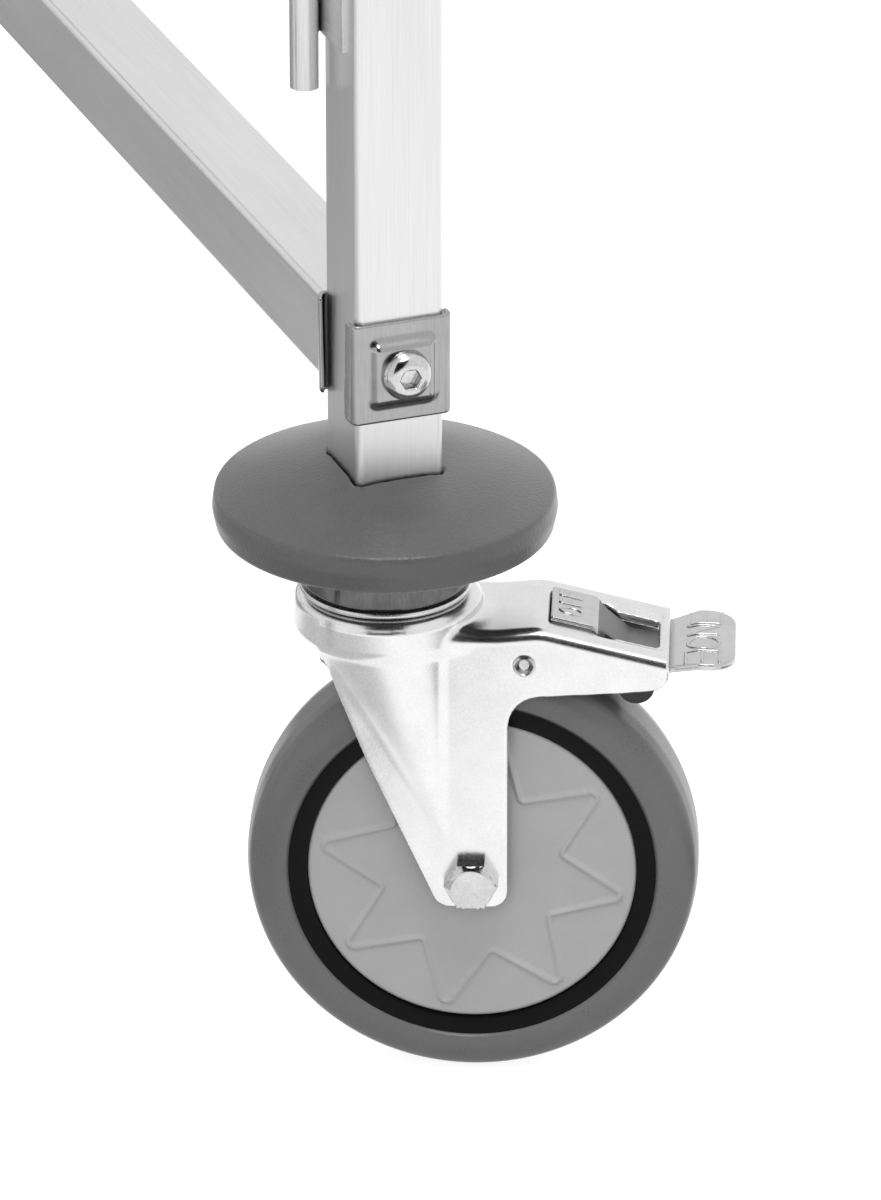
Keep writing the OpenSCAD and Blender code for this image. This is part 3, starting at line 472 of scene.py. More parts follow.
def grain(tree, size, detail):
    """Noise with features of a size in millimetres, or of a size each along x, y and z."""
    place_node = add_node(tree, "ShaderNodeTexCoord")
    scaled = add_node(tree, "ShaderNodeMapping", {"Scale": 1 / (np.broadcast_to(size, 3) * MM)},
                      {"Vector": place_node.outputs["Object"]})
    return add_node(tree, "ShaderNodeTexNoise",
                    {"Scale": 1.0, "Detail": detail, "Roughness": NOISE_ROUGHNESS},
                    {"Vector": scaled.outputs[0]}).outputs["Fac"]


def surface(name, light, dark, rough, fine, cloud, height, fixed=None):
    """A finish: two colours, roughness range, grain and cloud sizes, relief in mm, fixed values."""
    material, tree, output = new_material(name)
    fine_noise = grain(tree, fine, GRAIN_DETAIL)
    cloud_noise = grain(tree, cloud, CLOUD_DETAIL)
    both = add_node(tree, "ShaderNodeMix", {"Factor": CLOUD_SHARE},
                    {"A": fine_noise, "B": cloud_noise}).outputs["Result"]
    colour = add_node(tree, "ShaderNodeValToRGB", links={"Fac": both})
    for element, position, tone in zip(colour.color_ramp.elements, COLOUR_RANGE, (dark, light)):
        element.position = position
        element.color = linear(tone)
    relief = add_node(tree, "ShaderNodeBump", {"Strength": 1.0, "Distance": height * MM},
                      {"Height": fine_noise})
    ends = ("From Min", "From Max", "To Min", "To Max")
    roughness = add_node(tree, "ShaderNodeMapRange", dict(zip(ends, NOISE_RANGE + rough)), {"Value": both})
    shader = add_node(tree, "ShaderNodeBsdfPrincipled", fixed,
                      {"Base Color": colour.outputs[0], "Roughness": roughness.outputs[0],
                       "Normal": relief.outputs[0]})
    tree.links.new(shader.outputs[0], output.inputs["Surface"])
    return material


print("clouds make up", CLOUD_SHARE, "of each finish")

# %% [markdown]
# ## Steel
# The tubes are AISI 304 stainless, brushed along their length with a fine belt. The brush lines
# stretch reflections across the grain and leave thin streaks along it. Each direction of tube has
# its own material, because the grain follows the tube. The castor fork is bright zinc plated.

# %% Brushed tubes
BRUSH_ACROSS = 0.33
BRUSH_ALONG = 26
CLOUD_ACROSS = 14.0
CLOUD_ALONG = 90
METAL = {"Metallic": 1.0}
finish = {}
for axis, letter in enumerate("xyz"):
    fine = [BRUSH_ACROSS] * 3
    fine[axis] = BRUSH_ALONG
    cloud = [CLOUD_ACROSS] * 3
    cloud[axis] = CLOUD_ALONG
    finish["tube_along_" + letter] = surface("brushed_stainless_304_" + letter, "#E0E0E0", "#D3D3D3",
                                             (0.26, 0.38), fine, cloud, 0.004, METAL)
print("brushed tubes in", len(finish), "directions")

# %% Other steel finishes
STEELS = {
    # Sheet ground along its length: streaks along, smeared reflections across.
    "stainless_sheet": ("brushed_stainless_sheet", "#E0E0E0", "#CBCBCB", (0.26, 0.38), (0.33, 24, 0.33),
                        (12, 80, 12), 0.004),
    # Drawing leaves fine lines along the rod, a little darker than the tubes.
    "stainless_rod": ("drawn_stainless_rod", "#D6D6D6", "#C2C2C2", (0.22, 0.32), (0.4, 0.4, 18),
                      (6, 6, 60), 0.003),
    # Bright zinc is almost white, with soft reflections and small clouds.
    "pressed_fork": ("bright_zinc_pressed_steel", "#E6E6E6", "#DADADA", (0.19, 0.28), 0.6, 9, 0.006),
    # Painted shade: dark, rough grey zinc for the inside of the fork and the pedal's dip, where shade falls.
    "zinc_inside": ("dull_zinc_inside", "#8C8C8C", "#7A7A7A", (0.40, 0.55), 0.6, 9, 0.006),
    # The pedal is zinc plated too; its grey, darker than the fork's, is painted shade.
    "zinc_pedal": ("bright_zinc_pedal_sheet", "#CACACA", "#BCBCBC", (0.18, 0.28), 0.5, 7, 0.006),
    # The press burnishes the clips glossy; their grey, darker than the matt post, is painted shade.
    "pressed_clip": ("polished_stainless_clip", "#A8A8A8", "#9A9A9A", (0.16, 0.28), (0.5, 0.5, 8), 8, 0.004),
    # Bolt heads are tumbled until they show small, sharp reflections.
    "bolt_steel": ("bright_stainless_bolt", "#D0D0D0", "#BCBCBC", (0.12, 0.22), 0.6, 4, 0.003),
    # The race's flange is turned and polished: one bright line round the castor's head.
    "polished_race": ("polished_bearing_steel", "#DADADA", "#C8C8C8", (0.24, 0.32), 0.4, 8, 0.002),
    # Painted reflection: the race's wall is painted dark, with upright streaks, for the dark bumper it
    # reflects.
    "painted_reflection_race": ("oiled_bearing_steel", "#6E6E6E", "#5A5A5A", (0.14, 0.24), (0.6, 0.6, 3.0), (5, 5, 9),
                   0.002),
    # Balls, sleeves and other hidden pieces are plain machined steel, grey and satin.
    "plain_steel": ("plain_machined_steel", "#9A9A9A", "#848484", (0.30, 0.42), 0.5, 5, 0.006),
}
for slot, looks in STEELS.items():
    finish[slot] = surface(*looks, METAL)
print("steel finishes:", len(finish))

# %% [markdown]
# ## Rubber and plastics
# The bumper disc is soft grey rubber with a slight sheen at flat angles. The tyre is polyurethane,
# and the wheel's core and covers are polypropylene. What differs most is the moulded grain.

# %% Rubber and plastic finishes
SHEEN = {"Sheen Weight": 0.12, "Sheen Roughness": 0.4}
NO_SHINE = {"Specular IOR Level": 0.1}
PLASTICS = {
    # The mould's leather grain breaks every highlight on the disc into a soft shimmer.
    "bumper_rubber": ("leather_grained_grey_rubber", "#565656", "#4F4F4F", (0.28, 0.36), 0.9, 16, 0.15,
                      SHEEN),
    # Cast polyurethane is smooth, so the tyre's shoulder carries one long soft highlight.
    "grey_tyre": ("grey_polyurethane_tyre", "#666666", "#606060", (0.26, 0.34), 0.7, 14, 0.006),
    # The core sits deep in the wheel and hardly shines: a black ring.
    "core_plastic": ("black_polypropylene_core", "#0A0A0A", "#080808", (0.30, 0.40), 0.5, 9, 0.01, NO_SHINE),
    # A spark-eroded mould makes the covers matt and even.
    "cover_plastic": ("light_grey_polypropylene_cover", "#AFAFAF", "#A8A8A8", (0.42, 0.52), 0.4, 12, 0.012),
    # Polyethylene caps are waxy: black with a broad, dull sheen.
    "cap_plastic": ("black_polyethylene_cap", "#202020", "#181818", (0.40, 0.52), 0.5, 9, 0.02),
    # The nylon sleeve is moulded plain and even.
    "sleeve_plastic": ("black_nylon_sleeve", "#1C1C1C", "#141414", (0.44, 0.56), 0.5, 9, 0.02),
    # The brake's nylon pad is rubbed a little smoother by the tyre.
    "pad_nylon": ("black_nylon_pad", "#181818", "#101010", (0.36, 0.48), 0.5, 6, 0.01),
}
for slot, looks in PLASTICS.items():
    finish[slot] = surface(*looks)
print(len(PLASTICS), "other finishes")

# %% Finish of each CAD node that stays
node_slot = {part["node"]: part["material_slot"] for part in frame["record"]["subparts"]}
for name, node in frame["nodes"].items():
    slot = node_slot[name]
    if slot == "stainless_tube":
        slot = "tube_along_" + ("z" if name.startswith("post_") else "x" if "cross" in name else "y")
    node.data.materials.clear()
    node.data.materials.append(finish[slot])
print("finishes on", len(frame["nodes"]), "nodes")

# %% [markdown]
# ## Where things are
# The posts stand at the corners of a rectangle. Each castor has its own frame of reference: X runs
# from the swivel axis towards the wheel. One mesh serves all castors, and a matrix places it.

# %% Places of the castors and joints
POST_X = 180
POST_Y = 262.5
CORNERS = {
    "front_right": (1, -1, -23.0), "front_left": (-1, -1, 203.0),
    "rear_right": (1, 1, 151.6), "rear_left": (-1, 1, 28.4),
}
BRAKED = ("front_right", "front_left")
SIDES = (-1, 1)
BASE_Z = 212.7
TOP_Z = 840
CROSS_RISE = 32


def stand(x, y, z, turn):
    """Matrix that turns a mesh about Z and moves it."""
    return Matrix.Translation(Vector((x, y, z)) * MM) @ Matrix.Rotation(math.radians(turn), 4, "Z")


castor_place = {name: stand(x * POST_X, y * POST_Y, 0, turn) for name, (x, y, turn) in CORNERS.items()}


def place(name, mesh, matrix, body, node, slot):
    """Put a copy of a mesh in place of a node, on a body, in its own or its slot's finish."""
    own_mesh = mesh.copy()
    own_mesh.transform(matrix)
    if len(own_mesh.materials) == 0:
        own_mesh.materials.append(finish[slot])
    piece = bpy.data.objects.new(name, own_mesh)
    bpy.context.scene.collection.objects.link(piece)
    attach(piece, body)
    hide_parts(node)


def place_at(corner, name, mesh, body, node, slot):
    """Put a castor's mesh at one corner, on that corner's body."""
    place(f"{name}_{corner}", mesh, castor_place[corner], f"{body}_{corner}", f"{node}_{corner}", slot)


joints = [(x, y, z, y * 90) for x in SIDES for y in SIDES for z in (BASE_Z, TOP_Z)]
joints += [(x, y, TOP_Z + CROSS_RISE, 90 - x * 90) for x in SIDES for y in SIDES]
joints += [(x, 1, BASE_Z + CROSS_RISE, 90 - x * 90) for x in SIDES]
joint_places = [(x * POST_X, y * POST_Y, z, turn) for x, y, z, turn in joints]
print(len(joint_places), "bolted joints")

# %% [markdown]
# ## Castor fork
# The fork is one pressing of 2.5 mm sheet. A round crown carries the bearing, two cheeks hold the
# axle, and on the braked castors the sheet runs on into a sloping nose over the pedal. The press
# pulls the crown out into a half cone on each cheek, with its point above the axle. Modelled by
# hand this would be the hardest piece. As a field it is a drum, a slab and two cones joined with
# fillets, hollowed by the same shapes 2.5 mm smaller, and cut by an outline.

# %% Fork sizes
PLATE = 2.5
CHEEK_Y = 18.5
CROWN_Z = 143.3
CROWN_R = 24.9
SKIRT_Z = 126.5
SKIRT_R = 19.2
DRUM_Z = 131.6
APEX_X = 16.5
APEX_Z = 77.0
AXLE_X = 24.3
AXLE_Z = 62.5
RIVET_X = 38.6
RIVET_Z = 128.2
PIN_X = 60
PIN_Z = 126
OUTER_BEND = 3.4
INNER_BEND = OUTER_BEND - 2
FAR = 90
UNDER_ROOF = CROWN_Z - PLATE
print("fork crown", 2 * CROWN_R, "mm across")

# %% Fork outlines
crown_out = rounded([(-FAR, CROWN_Z), (CROWN_R - 0.2, CROWN_Z, 3.0), (CROWN_R + 0.3, DRUM_Z + 1.2, 3),
                     (SKIRT_R, SKIRT_Z, 0.4), (-FAR, SKIRT_Z)])
crown_in = rounded([(-FAR, UNDER_ROOF), (CROWN_R - PLATE, UNDER_ROOF, 2.0), (CROWN_R - PLATE, DRUM_Z, 2.5),
                    (SKIRT_R - PLATE, SKIRT_Z - 1), (-FAR, SKIRT_Z - 1)])
nose_slab = rounded([(-14.5, 40), (-14.5, 137.4), (31, 137.4, 5), (43, 138.6, 14), (84, 128.88), (84, 40)])
plain_slab = rounded([(-14.5, 40), (-14.5, 137.4), (14.5, 137.4), (19.5, 127.5), (48, 92), (48, 40)])
nose_channel = rounded([(-60, 40), (-60, SKIRT_Z - 0.1), (6, SKIRT_Z - 0.1), (6, UNDER_ROOF),
                        (12, UNDER_ROOF, 3), (18, 134.9, 4), (31, 134.9, 6), (43, 136.1, 14),
                        (FAR, 124.95), (FAR, 40)])
plain_channel = [(-60, 40), (-60, SKIRT_Z - 0.1), (60, SKIRT_Z - 0.1), (60, 40)]
back_edge = [(12.75, 60.0, 12), (-4.6, 98.9, 60), (-13.7, 122.8, 4), (-17.2, 125.4), (-17.2, 150)]
nose_cut = rounded([(15.2, 54.2, 5.2), *back_edge, (FAR, 150), (78, 150), (78, 121.6, 5.2),
                    (65.2, 120.3, 30), (34.3, 118.2, 9), (34.3, 54.2, 4.6)])
plain_cut = rounded([(15.2, 54.2, 5.2), *back_edge, (17.2, 150), (17.2, 125.2, 2), (34.3, 102.9, 6),
                     (34.3, 54.2, 4.6)])
window_side = [(45.2, 10.7, 0.6), (61, 10.7, 1.4), (63.5, 8.6, 1.6), (75, 8.6, 1.4)]
window = rounded([(x, -y, radius) for x, y, radius in window_side] + window_side[::-1])
print("fork outline with", len(nose_cut), "points")

# %% [markdown]
# ## Field of the fork
# The slab and the cones come first, trimmed to the outline, then the crown, the hollow and the
# holes. The crown's fillet widens towards the nose, where the sheet is drawn most.

# %% Fork field
CONE_GAP = 0.3
CONE_LEAN = 0.88
CONE_DROP = 4
CONE_FADE = 0.6
CONE_FILLET = 1.1
SHEET_EDGE = 0.4
CROWN_FILLET = 1.6
NOSE_FILLET = 5.0
DISH_DEPTH = 1.3
KING_HOLE = 8.1
AXLE_HOLE = 4.1
RIVET_HOLE = 2.4
HOLE_FROM_Z = 136
WINDOW_FROM_Z = 126
WINDOW_EDGE = 0.35


def dish_depth(x, across):
    """Depth of the shallow dish round the far half of the window."""
    return DISH_DEPTH * ramp(across, 13.5, 9.5) * ramp(x, 56, 60) * ramp(x, 77.5, 75)


def crown_fillet(x, z):
    """Width of the fillet round the crown, wider towards the nose."""
    return CROWN_FILLET + NOSE_FILLET * ramp(x, 11, 26) * ramp(z, 126, 134)


def cone_field(x, z, across):
    """The half cone on each cheek, from the crown to its apex."""
    share = np.clip((z - APEX_Z) / (DRUM_Z - APEX_Z), 0, 1)
    off_axis = np.hypot(x - APEX_X * (1 - share), across - CHEEK_Y * (1 - share))
    return (off_axis - share * (CROWN_R - CONE_GAP)) * CONE_LEAN + CONE_FADE * np.maximum(APEX_Z - z, 0)


def fork_field(braked):
    """The field of a fork, with its nose or plain."""
    slab_shape, channel_shape, cut_shape = (
        (nose_slab, nose_channel, nose_cut) if braked else (plain_slab, plain_channel, plain_cut))

    def field(x, y, z):
        across = np.abs(y)
        r = np.hypot(x, y)
        dish = dish_depth(x, across) if braked else 0
        cone = cone_field(x, z, across)
        slab = round_join(across - CHEEK_Y, outline_distance(x, z, slab_shape) + dish, OUTER_BEND)
        pressed = soft_union(slab, np.maximum(cone, z - CROWN_Z + CONE_DROP), CONE_FILLET)
        pressed = round_join(pressed, outline_distance(x, z, cut_shape), SHEET_EDGE)
        crown = outline_distance(r, z, crown_out)
        body = soft_union(pressed, crown, crown_fillet(x, z) if braked else CROWN_FILLET)
        inner_slab = outline_distance(x, z, channel_shape) + dish
        hollow = round_join(across - CHEEK_Y + PLATE, inner_slab, INNER_BEND)
        hollow = np.minimum(hollow, outline_distance(r, z, crown_in))
        hollow = np.minimum(hollow, np.maximum(cone + PLATE, z - DRUM_Z))
        body = np.maximum(body, -hollow)
        body = np.maximum(body, -np.maximum(r - KING_HOLE, HOLE_FROM_Z - z))
        body = np.maximum(body, AXLE_HOLE - np.hypot(x - AXLE_X, z - AXLE_Z))
        if braked:
            opening = np.maximum(outline_distance(x, y, window), WINDOW_FROM_Z - z)
            body = round_join(body, -opening, WINDOW_EDGE)
            body = np.maximum(body, RIVET_HOLE - np.hypot(x - RIVET_X, z - RIVET_Z))
        return body
    return field


print("crown fillet", CROWN_FILLET, "mm")

# %% Fork meshes
FORK_STEP = 0.62
FORK_LOW = (-26.7, -26.7, 52.6)
FORK_HIGH = {True: (79.4, 26.7, 145), False: (36, 26.7, 145)}
INSIDE_Y = 16.4
INSIDE_X = 24
INSIDE_R = 23
ROOF_Z = 134.4
ROOF_BEND_X = 43
ROOF_FALL = 0.237
fork_mesh = {}


def painted_shade_inside_fork(x, y, z):
    """Whether a place is inside the nose or between the cheeks, under the roof, where shade is painted."""
    roof = ROOF_Z if x < ROOF_BEND_X else ROOF_Z - (x - ROOF_BEND_X) * ROOF_FALL
    return abs(y) < INSIDE_Y and z < roof and (x > INSIDE_X or math.hypot(x, y) < INSIDE_R)


for braked, high in FORK_HIGH.items():
    part = mesh_of_field(fork_field(braked), FORK_LOW, high, FORK_STEP)
    fork_mesh[braked] = make_mesh("fork_with_nose" if braked else "fork_plain", part)
    # Painted shade: the inside of the nose and the space between the cheeks get the dark grey zinc.
    two_finishes(fork_mesh[braked], finish["pressed_fork"], finish["zinc_inside"], painted_shade_inside_fork)
    print("fork", "with nose" if braked else "plain", len(part[1]), "quads")
for corner in CORNERS:
    place_at(corner, "pressed_fork", fork_mesh[corner in BRAKED], "castor", "fork", "pressed_fork")

# %% [markdown]
# ## Brake pedal
# The pedal is a rocker of 2 mm sheet on a pin. Its OFF tab lies in the nose's window, a dip leads
# under the nose's end strip, and the ON tongue widens outside it. The dip carries painted shade, a
# dark zinc where the end strip shades it. The coined words could be text objects, but a low rounded
# bar swept along each stroke follows the bent sheet and has the soft edge of a pressing.

# %% Pedal lines
pedal_line = rounded([(46.2, 138.24), (57, 135.68, 3), (66.5, 127.5, 3), (72.5, 126.3, 3), (78, 126.3, 6),
                      (86, 128.3, 7), (96.1, 127.9)], closed=False)
pedal_side = [(45.5, 10, 0), (58.5, 10, 1), (60, 7.8, 1), (77.2, 7.8), (77.2, 15.4, 0.5), (79.5, 15.7, 3),
              (86.5, 17.7, 7.8), (96.1, 17.7, 7.6)]
pedal_plan = rounded([(x, -y, *radius) for x, y, *radius in pedal_side] + pedal_side[::-1])
pedal_ear = [(56.4, PIN_Z), (63.6, PIN_Z), (63.6, 129.6), (57, 135.7)]
print("pedal outline with", len(pedal_plan), "points")


# %% Strokes of the letters and bars
def letter_o(x, y, half_x, half_y, sides=24):
    """A ring of line pieces."""
    turns = [2 * math.pi * i / sides for i in range(sides + 1)]
    return [(x + half_x * math.cos(a), y + half_y * math.sin(a)) for a in turns]


def letter_f(x, y, tall, wide):
    """The stem and two bars of an F whose top is towards -X."""
    middle = x + tall * 0.45
    return [[(x, y), (x + tall, y)], [(x, y), (x, y + wide)], [(middle, y), (middle, y + wide * 0.8)]]


def letter_n(low, high, left, right):
    """Two stems and the slanted stroke between them."""
    return [[(low, left), (high, left)], [(low, right), (high, right)], [(low, left), (high, right)]]


tab_ridges = [letter_o(51, -3.9, 3.0, 1.9), *letter_f(48, 0.3, 6, 3.0), *letter_f(48, 4.9, 6, 3.0)]
tongue_ridges = [letter_o(87.2, -3.5, 4.3, 3.7), *letter_n(82.9, 91.4, 2.0, 7.5)]
for x, y in ((83.0, 7.9), (87.4, 9.4), (92.0, 9.4)):
    tongue_ridges.append([(x, y), (x + 0.3, 15.7)])
for x, y in ((82.4, -8.6), (87.0, -9.2), (91.7, -9.2)):
    tongue_ridges.append([(x, y), (x, -15.8)])
tongue_ridges += [[(82.4, -8.6), (91.7, -8.6)], [(83.0, 9.0), (92.0, 9.0)]]
print(len(tab_ridges + tongue_ridges), "ridges on the pedal")

# %% Pedal field and bars
PEDAL_HALF = 1.0
PEDAL_EDGE = 0.6
EAR_Y = 6.8
EAR_R = 3.6
EAR_EDGE = 0.3
BAR_HALF = 0.5
BAR_TALL = 0.45
BAR_STEP = 0.7
BAR_SINK = 0.05
BAR_END = 0.05
BAR_POINTS = 9


def pedal_field(x, y, z):
    """The bent sheet with its two ears round the pin."""
    sheet = line_distance(x, z, pedal_line) - PEDAL_HALF
    flat = round_join(sheet, outline_distance(x, y, pedal_plan), PEDAL_EDGE)
    wall = np.abs(np.abs(y) - EAR_Y) - PEDAL_HALF
    ear = np.minimum(outline_distance(x, z, pedal_ear), np.hypot(x - PIN_X, z - PIN_Z) - EAR_R)
    return np.minimum(flat, round_join(wall, ear, EAR_EDGE))


def coined_bar(line):
    """A low rounded bar along a line on the pedal's top face."""
    parts = [np.linspace(a, b, 1 + int(math.dist(a, b) / BAR_STEP), endpoint=False)
             for a, b in zip(line, line[1:])]
    line = np.concatenate(parts + [np.array([line[-1]])])
    ahead = np.gradient(line, axis=0)
    ahead /= np.linalg.norm(ahead, axis=1)[:, None]
    line = np.concatenate([[line[0] - ahead[0] * BAR_HALF], line, [line[-1] + ahead[-1] * BAR_HALF]])
    ahead = np.concatenate([ahead[:1], ahead, ahead[-1:]])
    size = np.ones(len(line))
    size[[0, -1]] = BAR_END
    turns = np.linspace(0, math.pi, BAR_POINTS)
    out = BAR_HALF * np.cos(turns) * size[:, None]
    x = line[:, :1] - ahead[:, 1:] * out
    y = line[:, 1:] + ahead[:, :1] * out
    top = np.interp(x, [p[0] for p in pedal_line], [p[1] for p in pedal_line]) + PEDAL_HALF
    z = top - BAR_SINK + BAR_TALL * np.sin(turns) * size[:, None]
    return np.stack([x, y, z], 2).reshape(-1, 3), row_quads(len(line), BAR_POINTS, False)


print("bars are", 2 * BAR_HALF, "mm wide")

# %% Pedal mesh
PEDAL_STEP = 0.34
DIP_START = 58.4
DIP_END = 76.6
part = mesh_of_field(pedal_field, (44.4, -19.3, 121), (97.6, 19.3, 141), PEDAL_STEP)
bars = [coined_bar(line) for line in tab_ridges + tongue_ridges]
pedal_mesh = make_mesh("pedal_sheet", joined([part] + bars))
# Painted shade: the dip under the nose's end strip gets the dark grey zinc.
two_finishes(pedal_mesh, finish["zinc_pedal"], finish["zinc_inside"],
             lambda x, y, z: DIP_START < x < DIP_END)
print("pedal", len(part[1]), "quads")
for corner in BRAKED:
    place_at(corner, "brake_pedal", pedal_mesh, "pedal", "pedal", "pressed_fork")

# %% [markdown]
# ## Rivet and axle bolt
# The brake lever turns on a tubular rivet with a rolled ring at each end. The wheel turns on an
# M8 hexagon bolt. A cone cuts its corners, so the flat top ends in a circle.

# %% Rivet and pedal pin
ALONG_Y = ("X", 90)
AGAINST_Y = ("X", -90)
rivet_place = (RIVET_X, 0, RIVET_Z)
rivet_end = ring_stack([(0, 17.6), (1.4, 17.7), (1.95, 18.3), (2.15, 18.95), (2.55, 19.3), (3.0, 19.05),
                        (3.1, 18.5)], 48)
rivet_tube = ring_stack([(2.3, -18.5), (2.3, 18.5)], 32)
pin = ring_stack([(0, -15.9), (2.45, -15.9), (2.5, -15.5), (2.5, 15.5), (2.45, 15.9), (0, 15.9)], 32)
pins_part = joined([
    turned(rivet_end, ALONG_Y, rivet_place), turned(rivet_end, AGAINST_Y, rivet_place),
    turned(rivet_tube, ALONG_Y, rivet_place), turned(pin, ALONG_Y, (PIN_X, 0, PIN_Z)),
])
print("rivet and pin", len(pins_part[1]), "quads")

# %% Axle bolt and nut
BOLT_R = 4.0
FLATS = 13
CUT_START = 1.9
CUT_TALL = 1.7
CUT_END = 0.2
CUT_SLOPE = 1.75


def hex_head(height, flats, cone):
    """Rings of a hexagon head, its corners cut by a cone."""
    def corner(angle):
        return hexagon(flats)(angle + math.pi / 6)
    rings = [(corner, 0), (corner, height - CUT_START)]
    for share in (0.2, 0.4, 0.6, 0.8, 0.93, 1.0):
        h = height - CUT_START + CUT_TALL * share
        limit = cone + (height - CUT_END - h) * CUT_SLOPE
        rings.append((lambda a, limit=limit: np.minimum(corner(a), limit), h))
    return rings + [(cone - 0.35, height - 0.03), (cone - 0.8, height), (0, height)]


head = ring_stack(hex_head(5.3, FLATS, 5.7), 144)
nut = ring_stack(hex_head(7.5, FLATS, 5.9), 144)
stub = ring_stack([(BOLT_R, 0), (BOLT_R, 8.2), (3.5, 8.8), (0, 8.8)], 48)
shank = ring_stack([(BOLT_R, -18.6), (BOLT_R, 18.6)], 48)
axle_part = joined([
    turned(head, ALONG_Y, (AXLE_X, -CHEEK_Y, AXLE_Z)), turned(nut, AGAINST_Y, (AXLE_X, CHEEK_Y, AXLE_Z)),
    turned(stub, AGAINST_Y, (AXLE_X, CHEEK_Y, AXLE_Z)), turned(shank, ALONG_Y, (AXLE_X, 0, AXLE_Z)),
])
pins_mesh = make_mesh("rivet_and_pin", pins_part, 32)
pins_mesh.materials.append(finish["zinc_pedal"])
axle_mesh = make_mesh("hexagon_axle_bolt", axle_part, 32)
for corner in CORNERS:
    place_at(corner, "axle_hexagon_bolt", axle_mesh, "castor", "axle_bolt", "bolt_steel")
for corner in BRAKED:
    place_at(corner, "rivet_and_pin", pins_mesh, "castor", "brake_pins", "bolt_steel")
print("axle bolt", len(axle_part[1]), "quads")

# %% [markdown]
# ## Wheel
# The wheel is a black core with a grey tyre moulded on, and a light grey cover clipped into each
# side. The tyre and the core are turned profiles, each mirrored from one half. The cover is a fan
# of rings whose height rises near the line of an eight-pointed star.

# %% Tyre and core
WHEEL_R = 62.49
RIM_R = 51.1
tyre_half = rounded([(RIM_R - 0.4, 0), (RIM_R - 0.4, 12.5), (RIM_R + 0.7, 13.45, 0.7), (57.0, 13.5, 11),
                     (61.5, 10.5, 4.5), (WHEEL_R, 5.0, 14), (WHEEL_R, 0)], closed=False, steps=10)
core_half = [(6.6, 0), (6.6, 15.3), (8.8, 15.3), (9.2, 14.9), (9.2, 9.0), (43.0, 9.0), (45.5, 10.0),
             (45.7, 12.4), (46.0, 12.62), (50.8, 12.62), (RIM_R, 12.3), (RIM_R, 0)]


def wheel_part(half):
    """Mirror half a profile and turn it about the axle."""
    rings = half + [(r, -z) for r, z in reversed(half)]
    return turned(ring_stack(rings, 192), ALONG_Y, (AXLE_X, 0, AXLE_Z))


tyre_mesh = make_mesh("tyre_profile", wheel_part(tyre_half))
core_mesh = make_mesh("core_profile", wheel_part(core_half), 40)
print("tyre", len(tyre_mesh.polygons), "quads")

# %% Star line
STAR_POINTS = 8
STAR_TURN = 35
STAR_OUT = (43.9, 1.6)
STAR_IN = (25.0, 1.2)
star_corners = []
for i in range(2 * STAR_POINTS):
    a = math.radians(STAR_TURN + i * 180 / STAR_POINTS)
    radius, bend = STAR_IN if i % 2 else STAR_OUT
    star_corners.append((radius * math.cos(a), radius * math.sin(a), bend))
star_line = rounded(star_corners)
star_line.append(star_line[0])
print("star line with", len(star_line), "points")

# %% Wheel covers
COVER_FACE = 11.9
COVER_IN = 9.5
COVER_FLAT = 44.4
COVER_R = 45.5
COVER_EDGE = [(44.9, 0.12), (45.3, 0.4), (COVER_R, 1.2)]
COVER_STEPS = 288
STAR_TALL = 0.8
cover_rings = [(r, 0.0) for r in np.linspace(COVER_IN, COVER_FLAT, 84)] + COVER_EDGE
angle = np.arange(COVER_STEPS) * 2 * math.pi / COVER_STEPS
cover_points = []
for r, drop in cover_rings:
    u, v = r * np.cos(angle), r * np.sin(angle)
    height = COVER_FACE + STAR_TALL * (1 - ramp(line_distance(u, v, star_line), 0.15, 1.0))
    cover_points.append(np.stack([u, v, height - drop], 1))
cover_quads = row_quads(len(cover_rings), COVER_STEPS, True)
lip = ring_stack([(COVER_IN, COVER_FACE), (COVER_IN, COVER_FACE - 1.6), (COVER_R, COVER_FACE - 1.6),
                  (COVER_R, COVER_FACE - 1.2)], COVER_STEPS)
cover_side = joined([(np.concatenate(cover_points), cover_quads), lip])
cover_part = joined([turned(cover_side, turn, (AXLE_X, 0, AXLE_Z)) for turn in (ALONG_Y, AGAINST_Y)])
cover_mesh = make_mesh("cover_with_star", cover_part)
for corner in CORNERS:
    place_at(corner, "wheel_tyre", tyre_mesh, "wheel", "tyre", "grey_tyre")
    place_at(corner, "wheel_hub_core", core_mesh, "wheel", "wheel_core", "core_plastic")
    place_at(corner, "wheel_star_covers", cover_mesh, "wheel", "hub_covers", "cover_plastic")
print("cover", len(cover_part[1]), "quads")

# %% [markdown]
# ## Bearing cup
# A polished steel cup is pressed round the head of the castor. Its flange is a bright line over
# the fork's crown, and the wall above it is painted dark, a painted reflection of the dark bumper
# above. Both are turned profiles.

# %% Bearing cup meshes
CUP_Z = 144.0
PAINTED_REFLECTION_ABOVE = 1.66
PAINTED_REFLECTION_OUTSIDE = 19.2
flange = rounded([(8.1, 7.7), (17.4, 7.7, 0.8), (17.4, -0.3), (23.3, -0.3, 0.3), (23.8, 0.5, 0.5),
                  (23.5, 1.4, 0.5), (22.1, 1.6, 0.3), (21.9, 2.3)], closed=False)
wall = rounded([(21.9, 2.3), (21.2, 8.0, 6), (19.8, 15.6, 0.7), (8.1, 15.8)], closed=False)
cup_mesh = make_mesh("bearing_cup", joined([ring_stack(flange, 160), ring_stack(wall, 160)]), 50)
# Painted reflection: the wall above the flange gets the dark steel.
two_finishes(cup_mesh, finish["polished_race"], finish["painted_reflection_race"],
             lambda x, y, z: z > PAINTED_REFLECTION_ABOVE and math.hypot(x, y) > PAINTED_REFLECTION_OUTSIDE)
for corner, (x, y, _) in CORNERS.items():
    place("bearing_cup_" + corner, cup_mesh, stand(x * POST_X, y * POST_Y, CUP_Z, 0), "frame",
          "upper_races", "polished_race")
print("bearing cup", len(cup_mesh.polygons), "quads")

# %% [markdown]
# ## Bumper disc
# The disc is a domed cap of soft rubber, hollow underneath, with a hub and ribs and a square hole
# for the post. Soft rubber never sits quite true, so each disc is tilted by one degree.

